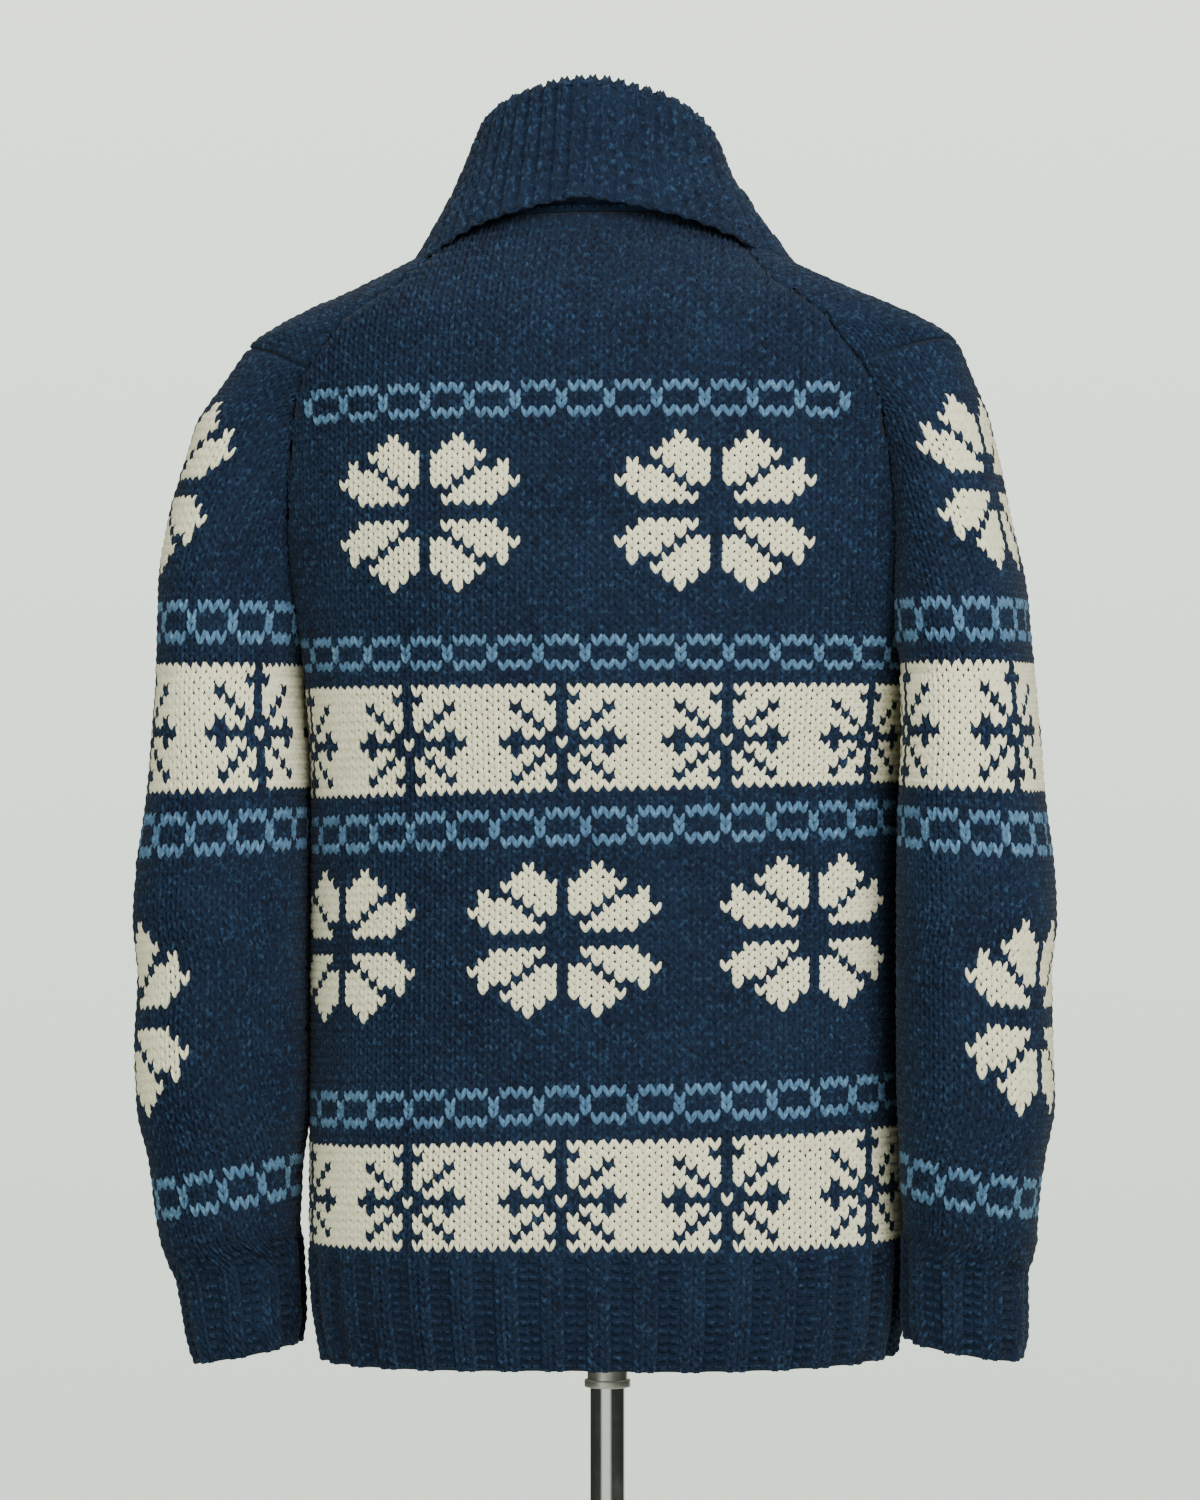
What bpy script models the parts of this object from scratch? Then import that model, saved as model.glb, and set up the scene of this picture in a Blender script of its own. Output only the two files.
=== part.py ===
"""A chunky hand-knit cardigan with a folded shawl collar, worn by a limbless dress form on a pole.

Metres, +Z up. The garment's front faces -Y and the wearer's left is +X. The stand's axis is the Z axis and the
floor is z = 0. Heights in the tables are measured up from the hem of the back.
"""
import math
from functools import lru_cache

import bmesh
import bpy
import numpy as np

# Driving sizes
HEM_Z = 0.620            # height of the hem above the floor
WALL = 0.0036            # thickness of the knitted cloth
GAP = 0.0003             # clearance at every seam
RIB_RAISE = 0.0020       # how far a rib of the hem or a cuff stands out
FRONT_DROP = 0.075       # how much lower the front neck sits than the back neck
DROP_START = 0.420       # height where the front begins to drop
NECK_H = 0.666           # height of the back neck seam
CORNER_H = 0.579         # where armhole, back and shoulder strap meet
UNDERARM_H = 0.400
BAND_HALF = 0.017        # half the width of the button band
COLLAR_WALL = 0.0046
COLLAR_SLOT = 0.0016     # space between the collar's two layers
COLLAR_RIB = 0.0012
BACK_RIBS = 18
FRONT_RIBS = 9
CUFF_RIBS = 10
SLEEVE_CELLS = 20
CLOTH_LIFT = 0.0024      # the form's shoulders lie this far inside the cloth
FORM_SLACK = 0.010       # and the rest of the form this far
FORM_BOTTOM = 0.030
NECK_R = 0.050           # the form's neck stump
NECK_Y = 0.006
POLE_R = 0.0103
CLAMP_R = 0.0119
CLAMP_FOOT = -0.0235     # its flange's underside, against the hem
FLANGE_R = 0.0137
BASE_R = 0.150
BUTTON_R = 0.0115
BUTTON_THICK = 0.0045
BUTTON_HEIGHTS = (0.035, 0.122, 0.209, 0.296, 0.382)

TORSO_COLUMNS = ("height", "half_width", "back", "front", "centre_y", "roundness")
TORSO = (
    (-0.020, 0.1660, 0.116, 0.112, 0.000, 2.30),
    (0.000, 0.1690, 0.119, 0.115, 0.000, 2.30),
    (0.030, 0.1735, 0.123, 0.119, 0.000, 2.30),
    (0.080, 0.1758, 0.125, 0.121, 0.000, 2.30),
    (0.200, 0.1755, 0.122, 0.121, 0.000, 2.30),
    (0.330, 0.1750, 0.121, 0.124, 0.000, 2.30),
    (0.400, 0.1790, 0.124, 0.127, 0.000, 2.30),
    (0.450, 0.1910, 0.124, 0.127, 0.002, 2.25),
    (0.485, 0.1970, 0.122, 0.126, 0.004, 2.25),
    (0.540, 0.2000, 0.114, 0.126, 0.010, 2.20),
    (0.579, 0.2115, 0.105, 0.126, 0.017, 2.05),
    (0.600, 0.2140, 0.099, 0.120, 0.019, 1.90),
    (0.612, 0.1990, 0.094, 0.114, 0.020, 1.85),
    (0.630, 0.1580, 0.086, 0.102, 0.019, 1.80),
    (0.648, 0.1180, 0.077, 0.086, 0.016, 1.90),
    (0.666, 0.0880, 0.066, 0.067, 0.012, 2.10),
    (0.690, 0.0850, 0.064, 0.064, 0.012, 2.10),
)

BACK_EDGE = (  # height, angle in degrees round from the centre back
    (0.400, 90.0), (0.420, 75.0), (0.450, 68.0), (0.485, 64.5), (0.520, 62.0), (0.550, 58.0),
    (0.579, 49.5), (0.600, 44.0), (0.622, 43.5), (0.645, 50.5), (0.666, 67.0),
)
FRONT_EDGE = (
    (0.400, 90.0), (0.420, 105.0), (0.450, 110.5), (0.485, 115.0), (0.520, 118.0), (0.550, 122.0),
    (0.579, 131.0), (0.600, 137.0), (0.622, 138.0), (0.645, 131.0), (0.666, 112.0),
)
NECKLINE = (  # height, distance of the front's edge from the centre front
    (0.400, 0.017), (0.450, 0.029), (0.500, 0.042), (0.550, 0.055), (0.600, 0.066),
    (0.640, 0.074), (0.666, 0.080),
)
STRAP_RISE = {0.579: 0.0260, 0.600: 0.0195, 0.622: 0.0125, 0.645: 0.0060, 0.666: 0.0}
STRAP_CELLS = 12
RIGHT_ARM_REACH = 0.972  # the wearer's right sleeve hangs a little shorter

LOW_ROWS = (0.0, 0.058, 0.070)
BODY_ROWS = (0.086, 0.125, 0.165, 0.205, 0.245, 0.285, 0.325, 0.365)
UPPER_ROWS = (0.400, 0.420, 0.450, 0.485, 0.520, 0.550, 0.579, 0.600, 0.622, 0.645, 0.666)

SLEEVE_COLUMNS = ("height", "outer_left", "outer_right", "inner_x", "centre_y", "half_depth", "tilt", "wrap")
SLEEVE = (  # wrap is how far round, in degrees, a row reaches each way from the outer line
    (-0.004, 0.240, 0.246, 0.184, 0.028, 0.034, 0.006, 180),
    (0.013, 0.245, 0.249, 0.182, 0.028, 0.038, 0.006, 180),
    (0.048, 0.250, 0.249, 0.183, 0.031, 0.041, 0.007, 180),
    (0.066, 0.259, 0.256, 0.183, 0.034, 0.048, 0.007, 180),
    (0.085, 0.262, 0.257, 0.182, 0.036, 0.052, 0.007, 180),
    (0.117, 0.265, 0.261, 0.181, 0.039, 0.057, 0.008, 180),
    (0.150, 0.272, 0.267, 0.180, 0.041, 0.060, 0.007, 180),
    (0.188, 0.273, 0.266, 0.180, 0.042, 0.062, 0.006, 180),
    (0.225, 0.271, 0.265, 0.180, 0.041, 0.063, 0.005, 180),
    (0.258, 0.274, 0.268, 0.180, 0.040, 0.066, 0.004, 180),
    (0.290, 0.272, 0.266, 0.180, 0.038, 0.067, 0.003, 180),
    (0.325, 0.267, 0.261, 0.181, 0.035, 0.069, 0.002, 180),
    (0.365, 0.264, 0.257, 0.182, 0.029, 0.074, 0.0, 180),
    (0.400, 0.263, 0.253, 0.180, 0.021, 0.077, 0.0, 180),
    (0.420, 0.263, 0.251, 0.177, 0.020, 0.078, 0.0, 160),
    (0.450, 0.263, 0.248, 0.171, 0.018, 0.077, 0.0, 146),
    (0.485, 0.259, 0.240, 0.163, 0.017, 0.074, 0.0, 134),
    (0.520, 0.250, 0.233, 0.156, 0.016, 0.069, 0.0, 124),
    (0.550, 0.241, 0.226, 0.150, 0.016, 0.063, 0.0, 114),
)
CUFF_ROWS = (-0.004, 0.013, 0.055, 0.066)
TUBE_ROWS = (0.082, 0.117, 0.150, 0.188, 0.225, 0.258, 0.290, 0.325, 0.365, 0.400)
CAP_ROWS = (0.420, 0.450, 0.485, 0.520, 0.550)

COLLAR_COLUMNS = ("along", "stand", "flap", "lay", "lean", "flare")
COLLAR = (  # along is the distance up the neckline from the break; lay 0 stands up, 1 lies on the chest
    (0.000, 0.012, 0.030, 1.0, 0.10, 0.001),
    (0.050, 0.016, 0.052, 1.0, 0.10, 0.001),
    (0.100, 0.020, 0.066, 1.0, 0.10, 0.002),
    (0.150, 0.024, 0.072, 0.9, 0.12, 0.002),
    (0.200, 0.033, 0.067, 0.6, 0.25, 0.003),
    (0.250, 0.043, 0.053, 0.2, 0.43, 0.003),
    (0.290, 0.050, 0.042, 0.0, 0.44, 0.004),
    (0.330, 0.057, 0.045, 0.0, 0.42, 0.004),
    (0.380, 0.071, 0.059, 0.0, 0.28, 0.005),
    (0.433, 0.080, 0.074, 0.0, 0.13, 0.006),
    (0.500, 0.080, 0.074, 0.0, 0.13, 0.006),
)
COLLAR_STATIONS = 48
COLLAR_NARROWER = 0.09   # how much nearer the neck its upper part sits on the wearer's right
FINE = 4                 # fine points in each coarse cell of the ribbed stretches


def slopes(xs, ys):
    """The slopes of a curve through the points that never overshoots them."""
    step = np.diff(xs)
    rise = np.diff(ys) / step
    mid = np.where(rise[1:] * rise[:-1] > 0,
                   2 * rise[1:] * rise[:-1] / np.where(rise[1:] + rise[:-1] == 0, 1, rise[1:] + rise[:-1]), 0)
    return np.concatenate([[rise[0]], mid, [rise[-1]]])


def curve(table, column, at):
    """One column of a table, read at a value of its first column along a smooth curve."""
    xs = np.array([row[0] for row in table])
    ys = np.array([row[column] for row in table])
    at = min(max(at, xs[0]), xs[-1])
    i = min(int(np.searchsorted(xs, at, side="right")) - 1, len(xs) - 2)
    width = xs[i + 1] - xs[i]
    t = (at - xs[i]) / width
    m = slopes(xs, ys)
    return float((2 * t**3 - 3 * t**2 + 1) * ys[i] + (t**3 - 2 * t**2 + t) * width * m[i]
                 + (3 * t**2 - 2 * t**3) * ys[i + 1] + (t**3 - t**2) * width * m[i + 1])


def smooth(t):
    """A step from 0 to 1 with level ends."""
    t = min(max(t, 0.0), 1.0)
    return t * t * (3 - 2 * t)


def unit(v):
    """The vector at length one."""
    return v / np.linalg.norm(v)


@lru_cache(maxsize=None)
def torso_row(height):
    """The torso's sizes at a height."""
    return tuple(curve(TORSO, i, height) for i in range(1, len(TORSO_COLUMNS)))


def body_point(angle, height):
    """A point of the cloth's outer surface; angle in radians from the centre back towards the wearer's left."""
    half_width, back, front, centre_y, roundness = torso_row(height)
    s, c = math.sin(angle), math.cos(angle)
    x = half_width * math.copysign(abs(s) ** (2 / roundness), s)
    depth = back if c > 0 else front
    y = centre_y + depth * math.copysign(abs(c) ** (2 / roundness), c)
    drop = FRONT_DROP * smooth((height - DROP_START) / (NECK_H - DROP_START)) * ((1 - c) / 2) ** 2
    return np.array([x, y, HEM_Z + height - drop])


@lru_cache(maxsize=None)
def body_normal(angle, height):
    """The outward normal of the cloth there."""
    turn, lift = 0.02, 0.002
    across = body_point(angle + turn, height) - body_point(angle - turn, height)
    up = body_point(angle, height + lift) - body_point(angle, height - lift)
    return unit(np.cross(up, across))


@lru_cache(maxsize=None)
def arc_table(height):
    """Angles from the centre back to the centre front, and the distance round to each."""
    angles = np.linspace(0, math.pi, 181)
    points = np.array([body_point(a, height) for a in angles])
    steps = np.linalg.norm(np.diff(points, axis=0), axis=1)
    return angles, np.concatenate([[0], np.cumsum(steps)])


def arc_of(angle, height):
    """The distance round from the centre back to an angle."""
    angles, arcs = arc_table(height)
    return float(np.interp(angle, angles, arcs))


def angle_of(arc, height):
    """The angle at a distance round from the centre back, negative on the wearer's right."""
    angles, arcs = arc_table(height)
    return math.copysign(float(np.interp(abs(arc), arcs, angles)), arc)


def edge_arc(table, height):
    """The distance round to a panel's edge, whose angles are given in a table."""
    return arc_of(math.radians(curve(table, 1, height)), height)


def front_arc(height, x):
    """The distance round to the point of the front that lies x from the centre."""
    half_width, roundness = torso_row(height)[0], torso_row(height)[4]
    return arc_of(math.pi - math.asin((x / half_width) ** (roundness / 2)), height)


class Sheet:
    """A knitted wall: outer points, inner points and the faces that both sides share."""

    def __init__(self, name):
        self.name, self.outer, self.inner, self.faces = name, [], [], []

    def add(self, outer, inner):
        """Adds a pair of points and gives its number."""
        self.outer.append(np.asarray(outer, float))
        self.inner.append(np.asarray(inner, float))
        return len(self.outer) - 1

    def join_rows(self, low, high):
        """Faces between two rows of points, the lower of which may have FINE times the cells."""
        if len(low) == len(high):
            for i in range(len(low) - 1):
                self.faces.append((low[i], low[i + 1], high[i + 1], high[i]))
            return
        half = FINE // 2
        for i in range(len(high) - 1):
            base = low[i * FINE:i * FINE + FINE + 1]
            for j in range(half):
                self.faces.append((base[j], base[j + 1], high[i]))
            self.faces.append((base[half], high[i + 1], high[i]))
            for j in range(half, FINE):
                self.faces.append((base[j], base[j + 1], high[i + 1]))

    def mirrored(self, name):
        """The same wall on the wearer's other side."""
        other = Sheet(name)
        flip = np.array([-1.0, 1.0, 1.0])
        other.outer = [p * flip for p in self.outer]
        other.inner = [p * flip for p in self.inner]
        other.faces = [tuple(reversed(f)) for f in self.faces]
        return other

    def build(self, material):
        """Makes the closed solid, with a rim along every free edge."""
        count = len(self.outer)
        used = {}
        for face in self.faces:
            for a, b in zip(face, face[1:] + face[:1]):
                used[a, b] = True
        faces = list(self.faces) + [tuple(i + count for i in reversed(f)) for f in self.faces]
        faces += [(b, a, a + count, b + count) for a, b in used if (b, a) not in used]
        return make_object(self.name, self.outer + self.inner, faces, material)


def make_object(name, points, faces, material, smooth_angle=None):
    """A named object from points and faces."""
    mesh = bpy.data.meshes.new(name)
    mesh.from_pydata([tuple(p) for p in points], [], faces)
    work = bmesh.new()
    work.from_mesh(mesh)
    bmesh.ops.triangulate(work, faces=work.faces[:])
    bmesh.ops.recalc_face_normals(work, faces=work.faces[:])
    work.to_mesh(mesh)
    work.free()
    if smooth_angle is not None:
        mesh.shade_smooth()
        mesh.set_sharp_from_angle(angle=smooth_angle)
    mesh.materials.append(material)
    piece = bpy.data.objects.new(name, mesh)
    bpy.context.scene.collection.objects.link(piece)
    return piece


def finish(name, colour, roughness, metallic=0.0):
    """A material with one Principled BSDF."""
    material = bpy.data.materials.new(name)
    material.use_nodes = True
    shader = material.node_tree.nodes["Principled BSDF"]
    shader.inputs["Base Color"].default_value = (*colour, 1)
    shader.inputs["Roughness"].default_value = roughness
    shader.inputs["Metallic"].default_value = metallic
    return material


def body_pair(arc, height, raised=0.0):
    """The outer and inner points of the body's wall at a distance round and a height."""
    angle = angle_of(arc, height)
    point, normal = body_point(angle, height), body_normal(angle, height)
    return point + normal * raised, point - normal * WALL


def panel(name, low_edge, high_edge, ribs):
    """A body panel between two edges, each a function of height, with a ribbed hem."""
    sheet = Sheet(name)
    rows = []
    for height in LOW_ROWS:
        count = ribs * FINE
        start, end = low_edge(height), high_edge(height)
        row = []
        for i in range(count + 1):
            raised = RIB_RAISE if i % FINE in (1, 2) else 0.0
            row.append(sheet.add(*body_pair(start + (end - start) * i / count, height, raised)))
        rows.append(row)
    for height in BODY_ROWS + UPPER_ROWS:
        start, end = low_edge(height), high_edge(height)
        rows.append([sheet.add(*body_pair(start + (end - start) * i / ribs, height)) for i in range(ribs + 1)])
    for low, high in zip(rows, rows[1:]):
        sheet.join_rows(low, high)
    return sheet


def back_half(height):
    """Half the width of the back, measured round the body."""
    return edge_arc(BACK_EDGE, height) - GAP / 2


def front_outer(height):
    """The distance round to a front's side and armhole edge."""
    return edge_arc(FRONT_EDGE, height) + GAP / 2


def front_inner(height):
    """The distance round to a front's centre and neckline edge."""
    return front_arc(height, curve(NECKLINE, 1, height))


def strap_point(across, height):
    """Angle and height of a shoulder strap's point; across is -1 at the back seam and 1 at the front seam."""
    tuck = math.radians(0.28)
    back = math.radians(curve(BACK_EDGE, 1, height)) + tuck
    front = math.radians(curve(FRONT_EDGE, 1, height)) - tuck
    angle = back + (front - back) * (across + 1) / 2
    return angle, height + STRAP_RISE[height] * (1 - across * across)


def shoulder_strap(name):
    """The strap over the wearer's left shoulder."""
    sheet, rows = Sheet(name), []
    for height in UPPER_ROWS[UPPER_ROWS.index(CORNER_H):]:
        row = []
        for i in range(STRAP_CELLS + 1):
            angle, level = strap_point(2 * i / STRAP_CELLS - 1, height)
            point, normal = body_point(angle, level), body_normal(angle, level)
            row.append(sheet.add(point, point - normal * WALL))
        rows.append(row)
    for low, high in zip(rows, rows[1:]):
        sheet.join_rows(low, high)
    return sheet


def sleeve_ring(turn, height, reach, outer):
    """A point of the sleeve; turn is -1 at the back edge, 0 at the outer line and 1 at the front."""
    outer_x = curve(SLEEVE, SLEEVE_COLUMNS.index(outer), height)
    inner_x, centre_y, half_depth, tilt, wrap = (
        curve(SLEEVE, i, height) for i in range(3, len(SLEEVE_COLUMNS)))
    height += (UNDERARM_H - min(height, UNDERARM_H)) * (1 - reach)
    roundness = 2.25
    angle = math.radians(wrap) * turn
    c, s = math.cos(angle), math.sin(angle)
    x = (outer_x + inner_x) / 2 + (outer_x - inner_x) / 2 * math.copysign(abs(c) ** (2 / roundness), c)
    y = centre_y - half_depth * math.copysign(abs(s) ** (2 / roundness), s)
    return np.array([x, y, HEM_Z + height - tilt * c])


def sleeve_point(turn, height, reach, outer):
    """The same, drawn to the armhole where the sleeve is sewn in."""
    point = sleeve_ring(turn, height, reach, outer)
    if height < UNDERARM_H:
        return point
    tuck = math.radians(0.28)
    if height == UNDERARM_H:
        target = body_point(math.pi / 2, height) + np.array([GAP, 0, GAP])
    elif turn < 0:
        target = body_point(math.radians(curve(BACK_EDGE, 1, height)) + tuck, height)
    else:
        target = body_point(math.radians(curve(FRONT_EDGE, 1, height)) - tuck, height)
    end = sleeve_ring(math.copysign(1.0, turn), height, reach, outer)
    return point + abs(turn) ** 3 * (target - end)


def sleeve(name, reach, outer):
    """A sleeve on the wearer's left, from the cuff up to the armhole, scaled in length below it."""
    sheet = Sheet(name)
    rows, raised = [], {}

    def row_of(height, cells, closed, ribbed):
        row = []
        for i in range(cells if closed else cells + 1):
            point = sleeve_point(2 * i / cells - 1, height, reach, outer)
            number = sheet.add(point, point)
            row.append(number)
            if ribbed and i % FINE in (1, 2):
                raised[number] = RIB_RAISE
        return row + row[:1] if closed else row

    for height in CUFF_ROWS:
        rows.append(row_of(height, CUFF_RIBS * FINE, True, True))
    for height in TUBE_ROWS:
        rows.append(row_of(height, SLEEVE_CELLS, True, False))
    for height in CAP_ROWS:
        rows.append(row_of(height, SLEEVE_CELLS, False, False))
    head = []
    for i in range(SLEEVE_CELLS + 1):
        across = 2 * i / SLEEVE_CELLS - 1
        edge = body_point(*strap_point(across, CORNER_H))
        behind = body_point(*strap_point(across, 0.600))
        head.append(sheet.add(edge + unit(edge - behind) * GAP * 1.4, edge))
    rows.append(head)
    for low, high in zip(rows, rows[1:]):
        if len(low) == 2 * (len(high) - 1) + 1:
            for i in range(len(high) - 1):
                base = low[2 * i:2 * i + 3]
                sheet.faces.append((base[0], base[1], high[i]))
                sheet.faces.append((base[1], high[i + 1], high[i]))
                sheet.faces.append((base[1], base[2], high[i + 1]))
        else:
            sheet.join_rows(low, high)
    sheet.faces = [tuple(reversed(f)) for f in sheet.faces]
    thicken_sleeve(sheet, rows, raised)
    return sheet


def thicken_sleeve(sheet, rows, raised):
    """Gives the sleeve its inner points, turned away from the panels along the armhole."""
    normals = [np.zeros(3) for _ in sheet.outer]
    for face in sheet.faces:
        a, b, c = (sheet.outer[i] for i in face[:3])
        d = sheet.outer[face[-1]]
        area = np.cross(b - a, d - a) + (np.cross(c - b, a - b) if len(face) > 3 else 0)
        for i in face:
            normals[i] += area
    away = {}
    for row, height in zip(rows[-len(CAP_ROWS) - 1:-1], CAP_ROWS):
        for number, table, sign in ((row[0], BACK_EDGE, 1), (row[-1], FRONT_EDGE, -1)):
            angle = math.radians(curve(table, 1, height))
            away[number] = sign * unit(body_point(angle + 0.01, height) - body_point(angle - 0.01, height))
    head = rows[-1]
    for i, number in enumerate(head):
        across = 2 * i / SLEEVE_CELLS - 1
        edge = body_point(*strap_point(across, CORNER_H))
        away[number] = unit(edge - body_point(*strap_point(across, 0.600)))
    for i, outer in enumerate(sheet.outer):
        normal = unit(normals[i])
        inward = -normal
        if i in away and inward @ away[i] < 0.05:
            inward = unit(inward - (inward @ away[i] - 0.05) * away[i])
        sheet.inner[i] = outer + inward * WALL
        sheet.outer[i] = outer + normal * raised.get(i, 0.0)


@lru_cache(maxsize=None)
def body_samples():
    """Points and normals spread over the upper body, to lay the collar's flap on."""
    spots = [(math.radians(angle), height)
             for angle in range(30, 181, 4) for height in np.arange(0.38, 0.667, 0.011)]
    return (np.array([body_point(a, h) for a, h in spots]), np.array([body_normal(a, h) for a, h in spots]))


def clear_of_body(point, clearance):
    """The point, moved out where it lies closer to the body's surface than the clearance."""
    points, normals = body_samples()
    side = np.array([math.copysign(1.0, point[0]), 1.0, 1.0])
    apart = point * side - points
    nearest = int(np.argmin(np.einsum("ij,ij->i", apart, apart)))
    height = apart[nearest] @ normals[nearest]
    if height >= clearance:
        return point
    return point + normals[nearest] * side * (clearance - height)


def neckline_path():
    """Stations along the neckline, from the left break round the back of the neck to the right break."""
    points, normals = [], []
    for height in np.linspace(UNDERARM_H + 0.001, NECK_H, 60):
        angle = angle_of(front_inner(height), height)
        points.append(body_point(angle, height))
        normals.append(body_normal(angle, height))
    last = angle_of(front_inner(NECK_H), NECK_H)
    for angle in np.linspace(last, 0, 50)[1:]:
        points.append(body_point(angle, NECK_H))
        normals.append(body_normal(angle, NECK_H))
    flip = np.array([-1.0, 1.0, 1.0])
    points += [p * flip for p in points[-2::-1]]
    normals += [n * flip for n in normals[-2::-1]]
    return np.array(points), np.array(normals)


def collar_section(along, length, rib):
    """The folded collar's outline at one station, as distances up the stand and out from it."""
    stand, flap, _, _, flare = (
        curve(COLLAR, i, min(along, length - along)) for i in range(1, len(COLLAR_COLUMNS)))
    wall, slot = COLLAR_WALL, COLLAR_SLOT
    out = slot + wall + rib
    return [
        (0.0, 0.0), (stand * 0.5, 0.0), (stand - 0.009, 0.0), (stand - 0.009, slot),
        (stand - flap * 0.55, slot + flare * 0.45), (stand - flap, slot + flare),
        (stand - flap, out + flare), (stand - flap * 0.7, out + flare * 0.55),
        (stand - flap * 0.38, out + flare * 0.15),
        (stand - 0.006, out), (stand + rib, slot / 2 + 0.0035), (stand + rib, slot / 2 - 0.0035),
        (stand - 0.006, -wall), (stand * 0.5, -wall), (0.0, -wall),
    ]


def collar(name, material):
    """The shawl collar: a stand, a fold and a flap, ribbed across its outer face."""
    path, normals = neckline_path()
    arcs = np.concatenate([[0], np.cumsum(np.linalg.norm(np.diff(path, axis=0), axis=1))])
    length = arcs[-1]
    fine_from, fine_to = 6, 10
    points, grid = [], []
    stations = COLLAR_STATIONS * FINE
    for k in range(stations + 1):
        along = length * k / stations
        base = np.array([np.interp(along, arcs, path[:, i]) for i in range(3)])
        ahead = np.array([np.interp(min(along + 0.008, length), arcs, path[:, i]) for i in range(3)])
        behind = np.array([np.interp(max(along - 0.008, 0), arcs, path[:, i]) for i in range(3)])
        normal = unit(np.array([np.interp(along, arcs, normals[:, i]) for i in range(3)]))
        forward = unit(ahead - behind)
        opening = unit(np.cross(normal, forward))
        lay, lean = (curve(COLLAR, i, min(along, length - along)) for i in (3, 4))
        inward = np.array([-base[0], 0.012 - base[1], 0.0])
        up = unit(np.array([0, 0, 1.0]) + lean * unit(inward))
        stand_way = unit(up * (1 - lay) + opening * lay)
        stand_way = unit(stand_way - (stand_way @ forward) * forward)
        out_way = np.cross(forward, stand_way)
        rib = COLLAR_RIB if k % 2 else 0.0
        row = {}
        for i, (up_by, out_by) in enumerate(collar_section(along, length, rib)):
            if k % FINE and not fine_from <= i <= fine_to:
                continue
            row[i] = len(points)
            point = base + opening * GAP * 1.5 + stand_way * up_by + out_way * out_by
            if point[0] < 0:
                point[0] *= 1 - COLLAR_NARROWER * smooth((point[2] - HEM_Z - 0.655) / 0.05)
            if 4 <= i <= 8:
                point = clear_of_body(point, COLLAR_SLOT + (COLLAR_WALL + rib if i > 5 else 0.0))
            points.append(point)
        grid.append(row)
    count = len(collar_section(0.0, length, 0.0))
    faces = []
    for k in range(0, stations, FINE):
        near, far = grid[k], grid[k + FINE]
        for i in range(count):
            j = (i + 1) % count
            if fine_from <= i < fine_to:
                for step in range(k, k + FINE):
                    faces.append((grid[step][i], grid[step][j], grid[step + 1][j], grid[step + 1][i]))
            elif i == fine_from - 1 or i == fine_to:
                fine, coarse = (j, i) if j == fine_from else (i, j)
                for step in range(k, k + FINE):
                    tip = near if step < k + FINE // 2 else far
                    faces.append((grid[step][fine], grid[step + 1][fine], tip[coarse]))
                faces.append((grid[k + FINE // 2][fine], near[coarse], far[coarse]))
            else:
                faces.append((near[i], near[j], far[j], far[i]))
    faces.append(tuple(grid[0][i] for i in range(count)))
    faces.append(tuple(grid[stations][i] for i in reversed(range(count))))
    return make_object(name, points, faces, material)


def band(name, start, end, layer, step_from, material):
    """A ribbed button band between two distances from the centre front, lying a given height off the chest."""
    sheet, cells, rows = Sheet(name), 8, []
    heights = [0.0, 0.040] + [0.040 + 0.045 * i for i in range(1, 8)] + [UNDERARM_H - 0.0005]
    for height in heights:
        row = []
        for i in range(cells + 1):
            x = start + (end - start) * i / cells
            lift = layer * (1 - smooth((x - step_from) / (end - step_from)))
            rib = 0.0010 if i % 2 else 0.0
            half_width, roundness = torso_row(height)[0], torso_row(height)[4]
            angle = math.pi - math.copysign(math.asin((abs(x) / half_width) ** (roundness / 2)), x)
            point, normal = body_point(angle, height), body_normal(angle, height)
            row.append(sheet.add(point + normal * (lift + rib), point + normal * (lift - WALL)))
        rows.append(row)
    for low, high in zip(rows, rows[1:]):
        sheet.join_rows(high, low)
    return sheet.build(material)


def lathe(name, profile, segments, material, place=(0.0, 0.0, 0.0), tilt=0.0, smooth_angle=0.6):
    """A turned solid from a profile of radius and height, bottom first, closed on the axis or on itself."""
    points, rings = [], []
    for radius, height in profile:
        if radius < 1e-9:
            rings.append([len(points)] * segments)
            points.append((0.0, 0.0, height))
            continue
        rings.append(list(range(len(points), len(points) + segments)))
        for i in range(segments):
            turn = 2 * math.pi * i / segments
            points.append((radius * math.cos(turn), radius * math.sin(turn), height))
    pairs = list(zip(rings, rings[1:]))
    if profile[0][0] > 1e-9:
        pairs.append((rings[-1], rings[0]))
    faces = []
    for low, high in pairs:
        for i in range(segments):
            j = (i + 1) % segments
            face = (low[i], low[j], high[j], high[i])
            faces.append(tuple(dict.fromkeys(face)))
    piece = make_object(name, points, faces, material, smooth_angle)
    piece.location = place
    piece.rotation_euler = (tilt, 0.0, 0.0)
    return piece


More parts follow.
